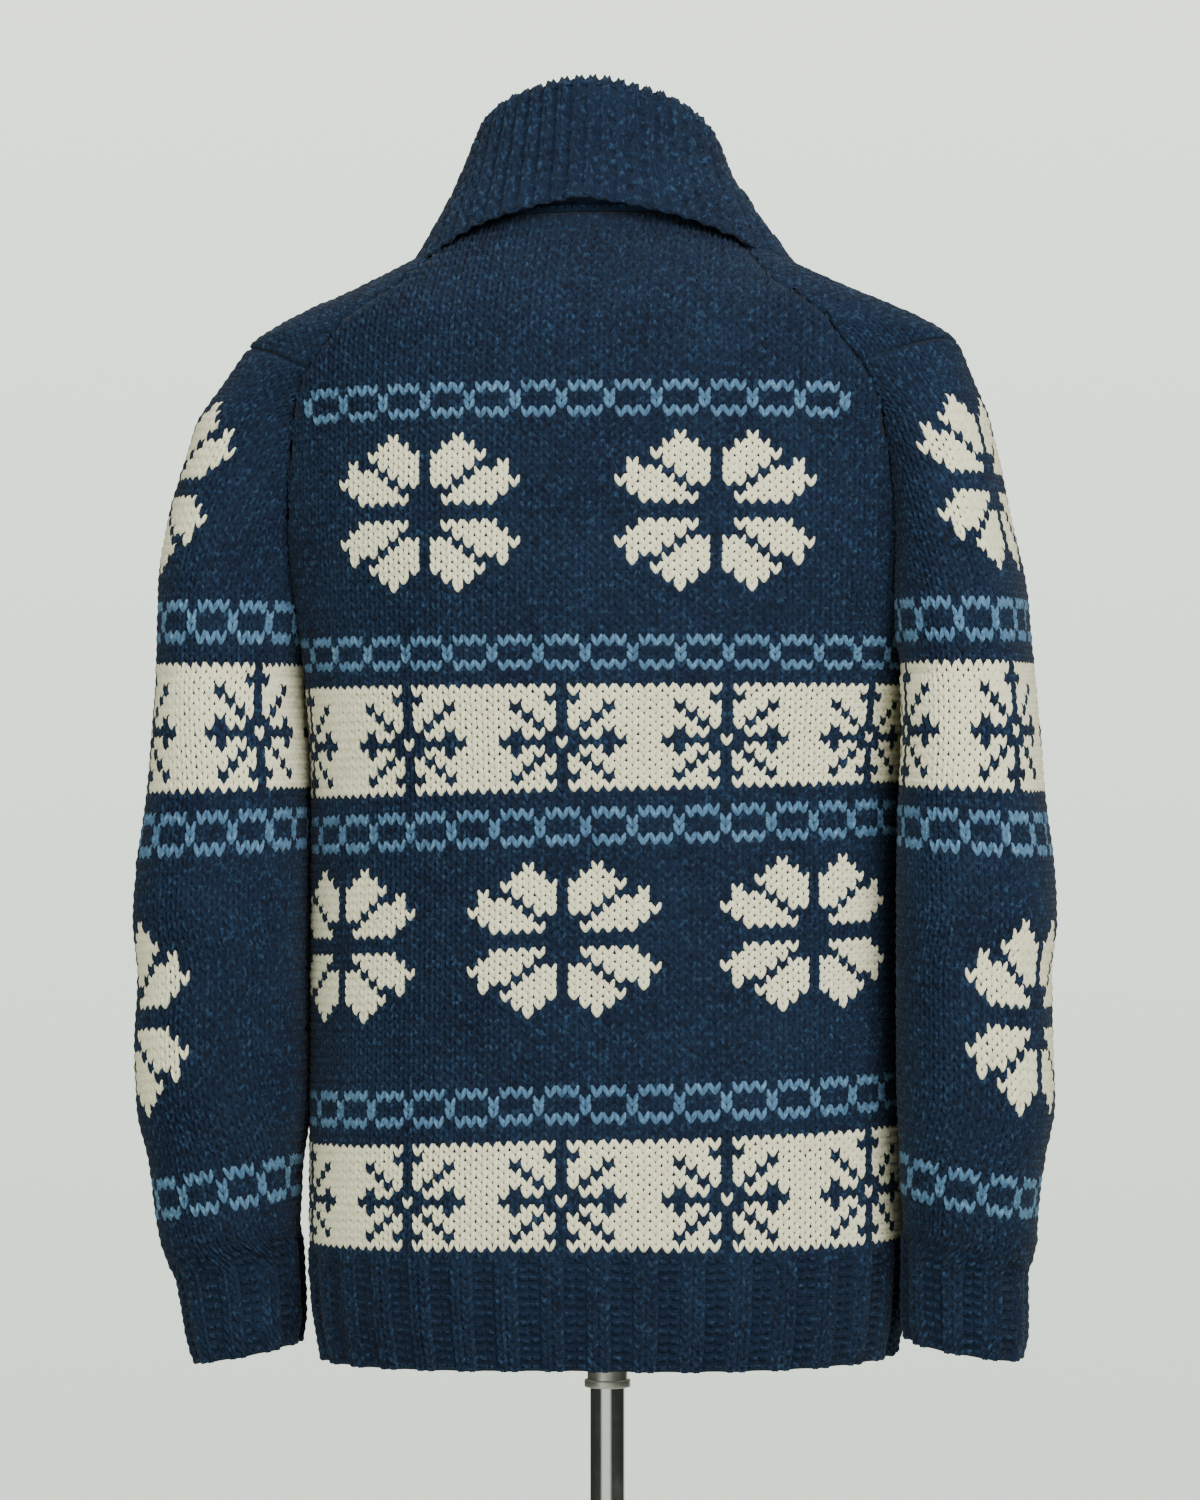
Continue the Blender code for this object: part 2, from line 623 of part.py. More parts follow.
def dress_form(name, material):
    """The smooth limbless form inside the cloth, with a short neck stump."""
    around = 32
    heights = (FORM_BOTTOM, 0.080, 0.150, 0.230, 0.310, 0.370, 0.420, 0.460, 0.500, 0.540, 0.568, 0.590, 0.604,
               0.618, 0.634, 0.650, NECK_H)
    points, rings = [], []
    for height in heights:
        ring = []
        for i in range(around):
            angle = 2 * math.pi * i / around
            turned = math.degrees(min(angle, 2 * math.pi - angle))
            touch = smooth((height - 0.575) / 0.040) * smooth((130 - turned) / 20)
            slack = FORM_SLACK + (CLOTH_LIFT - FORM_SLACK) * touch
            ring.append(len(points))
            points.append(body_point(angle, height) - body_normal(angle, height) * (WALL + slack))
        rings.append(ring)
    top = [points[i] for i in rings[-1]]
    for share, level, radius in ((0.55, 0.668, NECK_R), (0.88, 0.676, NECK_R), (1.0, 0.690, NECK_R),
                                 (1.0, 0.706, NECK_R), (1.0, 0.712, NECK_R * 0.9), (1.0, 0.715, NECK_R * 0.5)):
        ring = []
        for i in range(around):
            angle = 2 * math.pi * i / around
            stump = np.array([radius * math.sin(angle), NECK_Y + radius * math.cos(angle), HEM_Z + level])
            ring.append(len(points))
            points.append(top[i] + (stump - top[i]) * share)
        rings.append(ring)
    faces = []
    for low, high in zip(rings, rings[1:]):
        faces += [(low[i], low[(i + 1) % around], high[(i + 1) % around], high[i]) for i in range(around)]
    for ring, level in ((rings[0], FORM_BOTTOM), (rings[-1], 0.716)):
        centre = len(points)
        points.append((0.0, NECK_Y if ring is rings[-1] else 0.0, HEM_Z + level))
        faces += [(ring[i], ring[(i + 1) % around], centre) for i in range(around)]
    return make_object(name, points, faces, material, 0.8)


def main():
    """Builds every piece."""
    for old in list(bpy.data.objects):
        bpy.data.objects.remove(old)
    navy = finish("navy_wool", (0.020, 0.050, 0.110), 0.90)
    rib_navy = finish("navy_rib", (0.018, 0.045, 0.100), 0.92)
    cover = finish("form_cover", (0.62, 0.59, 0.54), 0.80)
    horn = finish("dark_horn", (0.05, 0.035, 0.025), 0.35)
    chrome = finish("chrome", (0.80, 0.80, 0.80), 0.12, 1.0)
    steel = finish("brushed_steel", (0.45, 0.43, 0.40), 0.35, 1.0)

    panel("back", lambda h: -back_half(h), back_half, BACK_RIBS).build(navy)
    front = panel("front_left", front_outer, front_inner, FRONT_RIBS)
    front.build(navy)
    front.mirrored("front_right").build(navy)
    strap = shoulder_strap("shoulder_left")
    strap.build(navy)
    strap.mirrored("shoulder_right").build(navy)
    sleeve("sleeve_left", 1.0, "outer_left").build(navy)
    sleeve("arm", RIGHT_ARM_REACH, "outer_right").mirrored("sleeve_right").build(navy)
    collar("collar", rib_navy)

    layer = WALL + 0.0010 + GAP * 1.5
    band("band_right", -BAND_HALF + GAP, BAND_HALF - 0.0075, 0.0, BAND_HALF - 0.008, rib_navy)
    band("band_left", -BAND_HALF, BAND_HALF - GAP, layer, BAND_HALF - 0.0062, rib_navy)
    for number, height in enumerate(BUTTON_HEIGHTS, 1):
        rest = body_point(math.pi, height) + body_normal(math.pi, height) * (layer + 0.0010 + GAP)
        normal = body_normal(math.pi, height)
        rim = BUTTON_R
        profile = ((0.0, 0.0), (rim * 0.72, 0.0), (rim, BUTTON_THICK * 0.35), (rim, BUTTON_THICK * 0.75),
                   (rim * 0.93, BUTTON_THICK), (rim * 0.70, BUTTON_THICK * 0.95),
                   (rim * 0.62, BUTTON_THICK * 0.62), (0.0, BUTTON_THICK * 0.62))
        lathe(f"button_{number}", profile, 16, horn, tuple(rest), math.pi / 2 - math.asin(normal[2]))

    dress_form("form", cover)
    form_z = HEM_Z + FORM_BOTTOM
    lathe("clamp", ((POLE_R + GAP, CLAMP_FOOT), (FLANGE_R, CLAMP_FOOT), (FLANGE_R, CLAMP_FOOT + 0.0042),
                    (CLAMP_R, CLAMP_FOOT + 0.0042), (CLAMP_R, FORM_BOTTOM - GAP), (POLE_R + GAP, FORM_BOTTOM - GAP)),
          24, steel, (0, 0, HEM_Z))
    socket_floor, socket_top = 0.010, 0.052
    lathe("base", ((0.0, 0.0), (BASE_R - 0.001, 0.0), (BASE_R, 0.001), (BASE_R, 0.005),
                   (BASE_R - 0.004, 0.0075), (0.024, 0.014), (0.018, 0.020), (0.018, socket_top - 0.001),
                   (0.017, socket_top), (POLE_R + GAP, socket_top), (POLE_R + GAP, socket_floor),
                   (0.0, socket_floor)), 32, steel)
    lathe("pole", ((0.0, socket_floor + GAP), (POLE_R, socket_floor + GAP), (POLE_R, form_z - GAP),
                   (0.0, form_z - GAP)), 28, chrome)


main()
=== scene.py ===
"""The looks of a chunky hand-knit cardigan on a dress form: every stitch is laid on the cloth it belongs to.

Metres, +Z up. The garment's front faces -Y and the wearer's left is +X. Heights in the tables are measured up
from the hem of the back, and a cloth's own places are counted in stitches across and rows up.
"""

import logging
import math
from dataclasses import dataclass, field
from enum import Enum
from typing import Callable, Sequence

import bpy
import numpy as np
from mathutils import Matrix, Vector

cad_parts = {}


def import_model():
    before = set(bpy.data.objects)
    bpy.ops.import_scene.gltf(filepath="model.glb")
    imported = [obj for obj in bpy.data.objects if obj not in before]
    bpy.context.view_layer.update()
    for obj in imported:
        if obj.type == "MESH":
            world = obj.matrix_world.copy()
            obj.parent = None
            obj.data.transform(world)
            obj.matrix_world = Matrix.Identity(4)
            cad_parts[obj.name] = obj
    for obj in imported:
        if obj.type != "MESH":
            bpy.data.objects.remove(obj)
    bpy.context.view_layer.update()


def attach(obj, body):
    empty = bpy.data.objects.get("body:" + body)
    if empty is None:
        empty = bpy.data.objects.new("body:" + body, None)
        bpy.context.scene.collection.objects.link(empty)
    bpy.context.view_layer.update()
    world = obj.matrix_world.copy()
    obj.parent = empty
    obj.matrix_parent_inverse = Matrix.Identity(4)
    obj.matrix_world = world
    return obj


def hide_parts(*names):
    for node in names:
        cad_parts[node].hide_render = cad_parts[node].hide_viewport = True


Array = np.ndarray
log = logging.getLogger("cardigan")

# The garment's and the stand's driving sizes, in metres
HEM_Z = 0.620            # height of the hem above the floor
WALL = 0.0036            # thickness of the knitted cloth
GAP = 0.0003             # clearance at every seam
RIB_RAISE = 0.0020       # how far a rib of the hem or a cuff stands out
FRONT_DROP = 0.075       # how much lower the front neck sits than the back neck
DROP_START = 0.420
NECK_H = 0.666
CORNER_H = 0.579         # where armhole, back and shoulder strap meet
UNDERARM_H = 0.400
BAND_HALF = 0.017
COLLAR_WALL = 0.0046
COLLAR_SLOT = 0.0016
CLOTH_LIFT = 0.0024
FORM_SLACK = 0.010
FORM_BOTTOM = 0.030
NECK_R = 0.050
NECK_Y = 0.006
POLE_R = 0.0103
CLAMP_R = 0.0119
FLANGE_R = 0.0137
CLAMP_FOOT = -0.0235
BASE_R = 0.150
SOCKET_R = 0.018
SOCKET_TOP = 0.052
SOCKET_FLOOR = 0.010
BUTTON_R = 0.0115
BUTTON_THICK = 0.0045
BUTTON_HEIGHTS = (0.035, 0.122, 0.209, 0.296, 0.382)
BACK_RIBS = 18
FRONT_RIBS = 9
CUFF_RIBS = 10
COLLAR_RIBS = 96
RIGHT_ARM_REACH = 0.972

# The knitting
ROW = 0.00493            # height of a row on the body
SLEEVE_ROW = 0.00618     # the sleeves hang free, so their rows are pulled longer
UPPER_FROM, UPPER_ROW = 61.0, 0.00560   # over the top of the arm they lie closer again
SLEEVE_STITCH = 0.00624
STRAP_STITCH = 0.0062
HALF_BACK = 36.0         # stitches from the centre back to the side seam
RIB_ROWS = 13            # rows of the hem's ribbing
CUFF_TOP = 0.0605        # height where a sleeve's ribbing ends
CUFF_ROWS = 11
RIB_MIDDLE = 0.375       # where the raised rib's middle lies in a repeat of two knit and two purl
RIB_LEG, RIB_HOLLOW = 0.52, 0.46   # columns from a rib's middle, and from a hollow's, to its stitches
BAND_RIB = 0.0010        # how far a rib of the button bands stands out
BAND_LAYER = WALL + BAND_RIB + GAP * 1.5   # how far the left band lies out over the right one
STEP = 0.5               # stitches and rows between the points of a surface
SEAM_TUCK = math.radians(0.28)   # the clearance of a strap's and a sleeve's seam, as degrees round the body
MIRRORED = np.array([-1.0, 1.0, 1.0])


def smooth(t: Array) -> Array:
    """Steps from 0 to 1 with level ends.

    Args:
        t: where along the step.

    Returns:
        The eased values.
    """
    t = np.clip(t, 0.0, 1.0)
    return t * t * (3 - 2 * t)


def unit(v: Array) -> Array:
    """Brings vectors to length one.

    Args:
        v: vectors along the last axis.

    Returns:
        The unit vectors.
    """
    return v / np.linalg.norm(v, axis=-1, keepdims=True)


def signed_power(base: Array, power: Array) -> Array:
    """Raises the size of a number and keeps its sign.

    Args:
        base: the numbers.
        power: the powers.

    Returns:
        The raised numbers.
    """
    return np.sign(base) * np.abs(base) ** power


@dataclass(frozen=True)
class Table:
    """Sizes against a first column, read along smooth curves that never overshoot."""

    rows: tuple[tuple[float, ...], ...]

    def read(self, column: int, at: Array) -> Array:
        """Reads one column.

        Args:
            column: the column's number.
            at: values of the first column.

        Returns:
            The values there.
        """
        xs = np.array([row[0] for row in self.rows])
        ys = np.array([row[column] for row in self.rows])
        rise = np.diff(ys) / np.diff(xs)
        total = rise[1:] + rise[:-1]
        product = rise[1:] * rise[:-1]
        inner = np.where(product > 0, 2 * product / np.where(total == 0, 1, total), 0)
        slope = np.concatenate([[rise[0]], inner, [rise[-1]]])
        at = np.clip(at, xs[0], xs[-1])
        i = np.clip(np.searchsorted(xs, at, side="right") - 1, 0, len(xs) - 2)
        width = xs[i + 1] - xs[i]
        t = (at - xs[i]) / width
        return ((2 * t**3 - 3 * t**2 + 1) * ys[i] + (t**3 - 2 * t**2 + t) * width * slope[i]
                + (3 * t**2 - 2 * t**3) * ys[i + 1] + (t**3 - t**2) * width * slope[i + 1])


TORSO = Table((  # height, half width, back depth, front depth, centre y, roundness
    (-0.020, 0.1660, 0.116, 0.112, 0.000, 2.30),
    (0.000, 0.1690, 0.119, 0.115, 0.000, 2.30),
    (0.030, 0.1735, 0.123, 0.119, 0.000, 2.30),
    (0.080, 0.1758, 0.125, 0.121, 0.000, 2.30),
    (0.200, 0.1755, 0.122, 0.121, 0.000, 2.30),
    (0.330, 0.1750, 0.121, 0.124, 0.000, 2.30),
    (0.400, 0.1790, 0.124, 0.127, 0.000, 2.30),
    (0.450, 0.1910, 0.124, 0.127, 0.002, 2.25),
    (0.485, 0.1970, 0.122, 0.126, 0.004, 2.25),
    (0.540, 0.2000, 0.114, 0.126, 0.010, 2.20),
    (0.579, 0.2115, 0.105, 0.126, 0.017, 2.05),
    (0.600, 0.2140, 0.099, 0.120, 0.019, 1.90),
    (0.612, 0.1990, 0.094, 0.114, 0.020, 1.85),
    (0.630, 0.1580, 0.086, 0.102, 0.019, 1.80),
    (0.648, 0.1180, 0.077, 0.086, 0.016, 1.90),
    (0.666, 0.0880, 0.066, 0.067, 0.012, 2.10),
    (0.690, 0.0850, 0.064, 0.064, 0.012, 2.10),
))
BACK_EDGE = Table((  # height, degrees round from the centre back
    (0.400, 90.0), (0.420, 75.0), (0.450, 68.0), (0.485, 64.5), (0.520, 62.0), (0.550, 58.0),
    (0.579, 49.5), (0.600, 44.0), (0.622, 43.5), (0.645, 50.5), (0.666, 67.0),
))
FRONT_EDGE = Table((
    (0.400, 90.0), (0.420, 105.0), (0.450, 110.5), (0.485, 115.0), (0.520, 118.0), (0.550, 122.0),
    (0.579, 131.0), (0.600, 137.0), (0.622, 138.0), (0.645, 131.0), (0.666, 112.0),
))
NECKLINE = Table((  # height, distance of the front's edge from the centre front
    (0.400, 0.017), (0.450, 0.029), (0.500, 0.042), (0.550, 0.055),
    (0.600, 0.066), (0.640, 0.074), (0.666, 0.080),
))
STRAP_RISE = Table(((0.579, 0.0260), (0.600, 0.0195), (0.622, 0.0125), (0.645, 0.0060), (0.666, 0.0)))
# Height, outer x of the left and of the right sleeve, inner x, centre y, half depth, tilt, degrees reached
SLEEVE = Table((
    (-0.004, 0.240, 0.246, 0.184, 0.028, 0.034, 0.006, 180),
    (0.013, 0.245, 0.249, 0.182, 0.028, 0.038, 0.006, 180),
    (0.048, 0.250, 0.249, 0.183, 0.031, 0.041, 0.007, 180),
    (0.066, 0.259, 0.256, 0.183, 0.034, 0.048, 0.007, 180),
    (0.085, 0.262, 0.257, 0.182, 0.036, 0.052, 0.007, 180),
    (0.117, 0.265, 0.261, 0.181, 0.039, 0.057, 0.008, 180),
    (0.150, 0.272, 0.267, 0.180, 0.041, 0.060, 0.007, 180),
    (0.188, 0.273, 0.266, 0.180, 0.042, 0.062, 0.006, 180),
    (0.225, 0.271, 0.265, 0.180, 0.041, 0.063, 0.005, 180),
    (0.258, 0.274, 0.268, 0.180, 0.040, 0.066, 0.004, 180),
    (0.290, 0.272, 0.266, 0.180, 0.038, 0.067, 0.003, 180),
    (0.325, 0.267, 0.261, 0.181, 0.035, 0.069, 0.002, 180),
    (0.365, 0.264, 0.257, 0.182, 0.029, 0.074, 0.0, 180),
    (0.400, 0.263, 0.253, 0.180, 0.021, 0.077, 0.0, 180),
    (0.420, 0.263, 0.251, 0.177, 0.020, 0.078, 0.0, 160),
    (0.450, 0.263, 0.248, 0.171, 0.018, 0.077, 0.0, 146),
    (0.485, 0.259, 0.240, 0.163, 0.017, 0.074, 0.0, 134),
    (0.520, 0.250, 0.233, 0.156, 0.016, 0.069, 0.0, 124),
    (0.550, 0.241, 0.226, 0.150, 0.016, 0.063, 0.0, 114),
))
CAP_TOP = 0.550
# Distance up from the break, stand, flap, lay (0 stands, 1 lies on the chest), lean, flare
COLLAR = Table((
    (0.000, 0.012, 0.030, 1.0, 0.10, 0.001),
    (0.050, 0.016, 0.052, 1.0, 0.10, 0.001),
    (0.100, 0.020, 0.066, 1.0, 0.10, 0.002),
    (0.150, 0.024, 0.072, 0.9, 0.12, 0.002),
    (0.200, 0.033, 0.067, 0.6, 0.25, 0.003),
    (0.250, 0.043, 0.053, 0.2, 0.43, 0.003),
    (0.290, 0.050, 0.042, 0.0, 0.44, 0.004),
    (0.330, 0.057, 0.045, 0.0, 0.42, 0.004),
    (0.380, 0.071, 0.059, 0.0, 0.28, 0.005),
    (0.433, 0.078, 0.073, 0.0, 0.13, 0.006),
    (0.500, 0.078, 0.073, 0.0, 0.13, 0.006),
))
ROW_HEIGHTS = (  # row of the body, height of its lower edge; the colour bands pull some rows taller
    (-RIB_ROWS, 0.0), (0, 0.0660), (12, 0.1276), (18, 0.1590), (27, 0.2046), (44, 0.2867), (50, 0.3175),
    (53, 0.3334), (65, 0.3930), (70, 0.4161), (76, 0.4474), (93, 0.5323), (99, 0.5614), (120, NECK_H),
)
NECK_ROW = 120.0
LEFT_DROP = Table((  # row of the body, how far it sinks at the wearer's left side
    (-14.0, 0.006), (0.0, 0.006), (12.0, 0.0095), (45.0, 0.0080), (70.0, 0.0), (130.0, 0.0),
))
RIGHT_LIFT = Table((  # and how far it rises at the right side
    (-14.0, 0.0), (0.0, 0.0), (12.0, 0.0045), (50.0, 0.0045), (70.0, 0.0), (130.0, 0.0),
))


def row_height(row: Array) -> Array:
    """The height of the body's rows.

    Args:
        row: rows counted up from the top of the hem's ribbing.

    Returns:
        Their heights above the hem.
    """
    rows, heights = zip(*ROW_HEIGHTS)
    return np.interp(row, rows, heights)


def body_point(angle: Array, height: Array) -> Array:
    """Points of the cloth's outer surface round the body.

    Args:
        angle: radians from the centre back towards the wearer's left.
        height: heights above the hem.

    Returns:
        The points.
    """
    half_width, back, front, centre_y, roundness = (TORSO.read(i, height) for i in range(1, 6))
    s, c = np.sin(angle), np.cos(angle)
    x = half_width * signed_power(s, 2 / roundness)
    y = centre_y + np.where(c > 0, back, front) * signed_power(c, 2 / roundness)
    drop = FRONT_DROP * smooth((height - DROP_START) / (NECK_H - DROP_START)) * ((1 - c) / 2) ** 2
    return np.stack(np.broadcast_arrays(x, y, HEM_Z + height - drop), axis=-1)


def body_normal(angle: Array, height: Array) -> Array:
    """The outward normals of the cloth there.

    Args:
        angle: radians from the centre back.
        height: heights above the hem.

    Returns:
        The unit normals.
    """
    turn, lift = 0.02, 0.002
    across = body_point(angle + turn, height) - body_point(angle - turn, height)
    up = body_point(angle, height + lift) - body_point(angle, height - lift)
    return unit(np.cross(up, across))


def walk_along(points: Array) -> Array:
    """Distances along rows of points.

    Args:
        points: rows of points, as (row, place, 3).

    Returns:
        The distance from each row's first point to every other.
    """
    steps = np.linalg.norm(np.diff(points, axis=1), axis=2)
    return np.concatenate([np.zeros((len(points), 1)), np.cumsum(steps, axis=1)], axis=1)


def body_arcs(heights: Array) -> tuple[Array, Array]:
    """How far it is round the body at each height.

    Args:
        heights: heights above the hem.

    Returns:
        Angles from the centre back to the centre front, and for each height the distance round to each.
    """
    turns = np.linspace(0.0, math.pi, 241)
    return turns, walk_along(body_point(turns[None, :], heights[:, None]))


def interp_rows(at: Array, xs: Array, ys: Array) -> Array:
    """Interpolates row by row.

    Args:
        at: the places wanted, as (row, place).
        xs: rising values for each row, or one row for all.
        ys: the values there, or one row for all.

    Returns:
        The values at the places wanted.
    """
    xs = np.broadcast_to(xs, (len(at), np.shape(xs)[-1]))
    ys = np.broadcast_to(ys, (len(at), np.shape(ys)[-1]))
    return np.array([np.interp(a, x, y) for a, x, y in zip(at, xs, ys)])


def half_steps(first: float, last: float) -> Array:
    """Places every half stitch or row.

    Args:
        first: the first place.
        last: the place that the last of them passes.

    Returns:
        The places.
    """
    return first + STEP * np.arange(int((last - first) / STEP) + 2)


def straight_edge(column: float) -> Callable[[Array], Array]:
    """An edge that keeps to one column.

    Args:
        column: the column.

    Returns:
        A function that gives the edge's column at any rows.
    """
    return lambda row: np.full_like(row, column, dtype=float)


def front_edge_angle(height: Array) -> Array:
    """The angle of the front's centre and neckline edge.

    Args:
        height: heights above the hem.

    Returns:
        Angles from the centre back.
    """
    half_width, roundness = TORSO.read(1, height), TORSO.read(5, height)
    return math.pi - np.arcsin((NECKLINE.read(1, height) / half_width) ** (roundness / 2))


def mesh_object(name: str, points: Array, faces: Sequence, materials: Sequence[bpy.types.Material],
                slots: Array | None = None, uv: Array | None = None,
                closed: bool = False) -> bpy.types.Object:
    """Makes a smooth-shaded mesh object that rides on the part.

    Args:
        name: the piece's name.
        points: its points.
        faces: its faces, as lists of point numbers.
        materials: its materials.
        slots: the material number of each face.
        uv: the surface coordinates of each point.
        closed: whether the faces close a solid, which are then turned to look out of it.

    Returns:
        The object.
    """
    mesh = bpy.data.meshes.new(name)
    mesh.from_pydata(np.asarray(points).tolist(), [], [list(map(int, f)) for f in faces])
    if closed:
        mesh.calc_loop_triangles()
        corners = np.zeros(3 * len(mesh.loop_triangles), np.int32)
        mesh.loop_triangles.foreach_get("vertices", corners)
        a, b, c = np.asarray(points)[corners.reshape(-1, 3)].transpose(1, 0, 2)
        if np.sum(a * np.cross(b, c)) < 0:
            mesh.flip_normals()
    for material in materials:
        mesh.materials.append(material)
    if slots is not None:
        mesh.polygons.foreach_set("material_index", np.asarray(slots, np.int32))
    if uv is not None:
        corners = np.zeros(len(mesh.loops), np.int32)
        mesh.loops.foreach_get("vertex_index", corners)
        mesh.uv_layers.new(name="yarn").data.foreach_set("uv", np.asarray(uv, np.float32)[corners].ravel())
    mesh.shade_smooth()
    piece = bpy.data.objects.new(name, mesh)
    bpy.context.scene.collection.objects.link(piece)
    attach(piece, "root")
    log.info("%s: %d faces", name, len(mesh.polygons))
    return piece


def grid_faces(rows: int, columns: int, first: int = 0, flip: bool = False) -> list[tuple[int, ...]]:
    """Faces over a grid of points numbered row by row.

    Args:
        rows: rows of points.
        columns: points in a row.
        first: the number of the first point.
        flip: whether the faces look the other way.

    Returns:
        The faces.
    """
    faces = []
    for r in range(rows - 1):
        for c in range(columns - 1):
            a = first + r * columns + c
            face = (a, a + 1, a + columns + 1, a + columns)
            faces.append(face[::-1] if flip else face)
    return faces


class Yarn(Enum):
    """The yarns, by the number of their material in a knitted piece."""

    NAVY = 0
    SKY = 1
    CREAM = 2


# Charts, each drawn from its centre column outwards; a hash is the pattern's yarn
TREE = (  # top row first; the band repeats every 14 stitches, mirrored about the trunk
    "#.......",
    "##......",
    "#...#...",
    "#..#....",
    "#.#.....",
    "##..#...",
    ".#####..",
    "##..#...",
    "#.#.....",
    "#..#....",
    "##..#...",
    "#.......",
)
FLOWER = (  # from the middle row outwards, mirrored up and down and left and right
    ".........",
    "..#####..",
    "...#####.",
    ".##.#####",
    ".###.###.",
    ".####..#.",
    ".#####...",
    "..###....",
    "...#.....",
)
TREE_REPEAT = 14
LINK_REPEAT = 4


class Motif(Enum):
    """The bands of the pattern."""

    CHAIN = "chain"
    TREES = "trees"
    FLOWERS = "flowers"


@dataclass(frozen=True)
class PatternBand:
    """A band of the pattern: its lowest row, the columns its figures stand on and how far out it goes."""

    motif: Motif
    first_row: int
    centres: tuple[float, ...] = (0.0,)
    reach: float = math.inf

    @property
    def rows(self) -> int:
        """How many rows the band takes."""
        return {Motif.CHAIN: 4, Motif.TREES: len(TREE), Motif.FLOWERS: 2 * len(FLOWER)}[self.motif]

    def yarn(self, row: int, column: float) -> Yarn:
        """The yarn of one stitch.

        Args:
            row: the stitch's row in the cloth.
            column: the stitch's column.

        Returns:
            Its yarn.
        """
        up = row - self.first_row
        if abs(column) > self.reach:
            return Yarn.NAVY
        if self.motif is Motif.CHAIN:
            in_gap = math.floor(column - self.centres[0] + 0.5) % LINK_REPEAT == 0
            return Yarn.SKY if in_gap == (up in (1, 2)) else Yarn.NAVY
        if self.motif is Motif.TREES:
            off = math.floor(column - self.centres[0] + 0.5) % TREE_REPEAT
            off = min(off, TREE_REPEAT - off)
            return Yarn.NAVY if TREE[len(TREE) - 1 - up][off] == "#" else Yarn.CREAM
        away = up - len(FLOWER) if up >= len(FLOWER) else len(FLOWER) - 1 - up
        for centre in self.centres:
            off = abs(math.floor(column - centre + 0.5))
            if off < len(FLOWER) and FLOWER[away][off] == "#":
                return Yarn.CREAM
        return Yarn.NAVY


class Lattice:
    """A knitted surface, as points and normals every half stitch and half row."""

    def __init__(self, first_column: float, first_row: float, step: float, points: Array,
                 normals: Array) -> None:
        """Keeps the grid.

        Args:
            first_column: the grid's first column.
            first_row: its first row.
            step: stitches and rows between points.
            points: the points, as (row, column, 3).
            normals: the outward normals there.
        """
        self.first_column, self.first_row, self.step = first_column, first_row, step
        self.points, self.normals = points, normals

    @property
    def columns(self) -> Array:
        """The columns of the grid's points."""
        return self.first_column + self.step * np.arange(self.points.shape[1])

    @property
    def rows(self) -> Array:
        """The rows of the grid's points."""
        return self.first_row + self.step * np.arange(self.points.shape[0])

    def lean_normals(self) -> None:
        """Works the normals out again from the points, on the side they were on."""
        up = np.gradient(self.points, axis=0)
        across = np.gradient(self.points, axis=1)
        fresh = np.cross(up, across)
        size = np.linalg.norm(fresh, axis=-1, keepdims=True)
        side = np.sign(np.sum(fresh * self.normals, axis=-1, keepdims=True))
        self.normals = np.where(size > 1e-12, fresh * side / np.maximum(size, 1e-12), self.normals)

    def at(self, columns: Array, rows: Array, lift: Array | float = 0.0) -> Array:
        """Points of the surface.

        Args:
            columns: their columns.
            rows: their rows.
            lift: how far out from the surface they are.

        Returns:
            The points.
        """
        c = (np.asarray(columns, float) - self.first_column) / self.step
        r = (np.asarray(rows, float) - self.first_row) / self.step
        c = np.clip(c, 0, self.points.shape[1] - 1.001)
        r = np.clip(r, 0, self.points.shape[0] - 1.001)
        ci, ri = c.astype(int), r.astype(int)
        cf, rf = (c - ci)[..., None], (r - ri)[..., None]
        found = []
        for grid in (self.points, self.normals):
            low = grid[ri, ci] * (1 - cf) + grid[ri, ci + 1] * cf
            high = grid[ri + 1, ci] * (1 - cf) + grid[ri + 1, ci + 1] * cf
            found.append(low * (1 - rf) + high * rf)
        return found[0] + unit(found[1]) * np.asarray(lift)[..., None]


@dataclass(frozen=True)
class LegShape:
    """One leg of a knit stitch, in stitches and rows, with its rise in metres."""

    foot: tuple[float, float] = (0.045, -0.56)
    head: tuple[float, float] = (0.385, 0.92)
    stations: tuple[tuple[float, float, float], ...] = (  # along the leg, half width, share of the rise
        (0.17, 0.200, 0.76), (0.55, 0.245, 1.00), (0.87, 0.200, 0.74),
    )
    rise: float = 0.0021
    sink: float = 0.0004
    bow: float = 0.035   # how far the leg bends outwards, in stitches

    def outline(self, side: int) -> tuple[Array, Array]:
        """The leg's points.

        Args:
            side: 1 for the right leg and -1 for the left.

        Returns:
            Points as (across, up, lift), and their coordinates along and across the yarn.
        """
        points, uv = [(*self._spine(0.0, side), 0.0)], [(0.5, 0.0)]
        for along, half, share in self.stations:
            across, up = self._spine(along, side)
            points.append((across - half, up, -self.sink))
            points.append((across, up, self.rise * share))
            points.append((across + half, up, -self.sink))
            uv += [(0.0, along), (0.5, along), (1.0, along)]
        points.append((*self._spine(1.0, side), self.rise * 0.15))
        uv.append((0.5, 1.0))
        return np.array(points), np.array(uv)

    def _spine(self, along: float, side: int) -> tuple[float, float]:
        """The middle of the leg.

        Args:
            along: the share of its length.
            side: 1 for the right leg and -1 for the left.

        Returns:
            The place, as (across, up).
        """
        bow = self.bow * math.sin(math.pi * along)
        across = self.foot[0] + (self.head[0] - self.foot[0]) * along + bow
        return side * across, self.foot[1] + (self.head[1] - self.foot[1]) * along

    @staticmethod
    def faces() -> list[tuple[int, ...]]:
        """The leg's faces, over the points that outline gives.

        Returns:
            The faces.
        """
        made = [(0, 2, 1), (0, 3, 2)]
        for first in (1, 4):
            made += [(first, first + 1, first + 4, first + 3), (first + 1, first + 2, first + 5, first + 4)]
        return made + [(7, 8, 10), (8, 9, 10)]


PURL = LegShape(rise=0.0026)


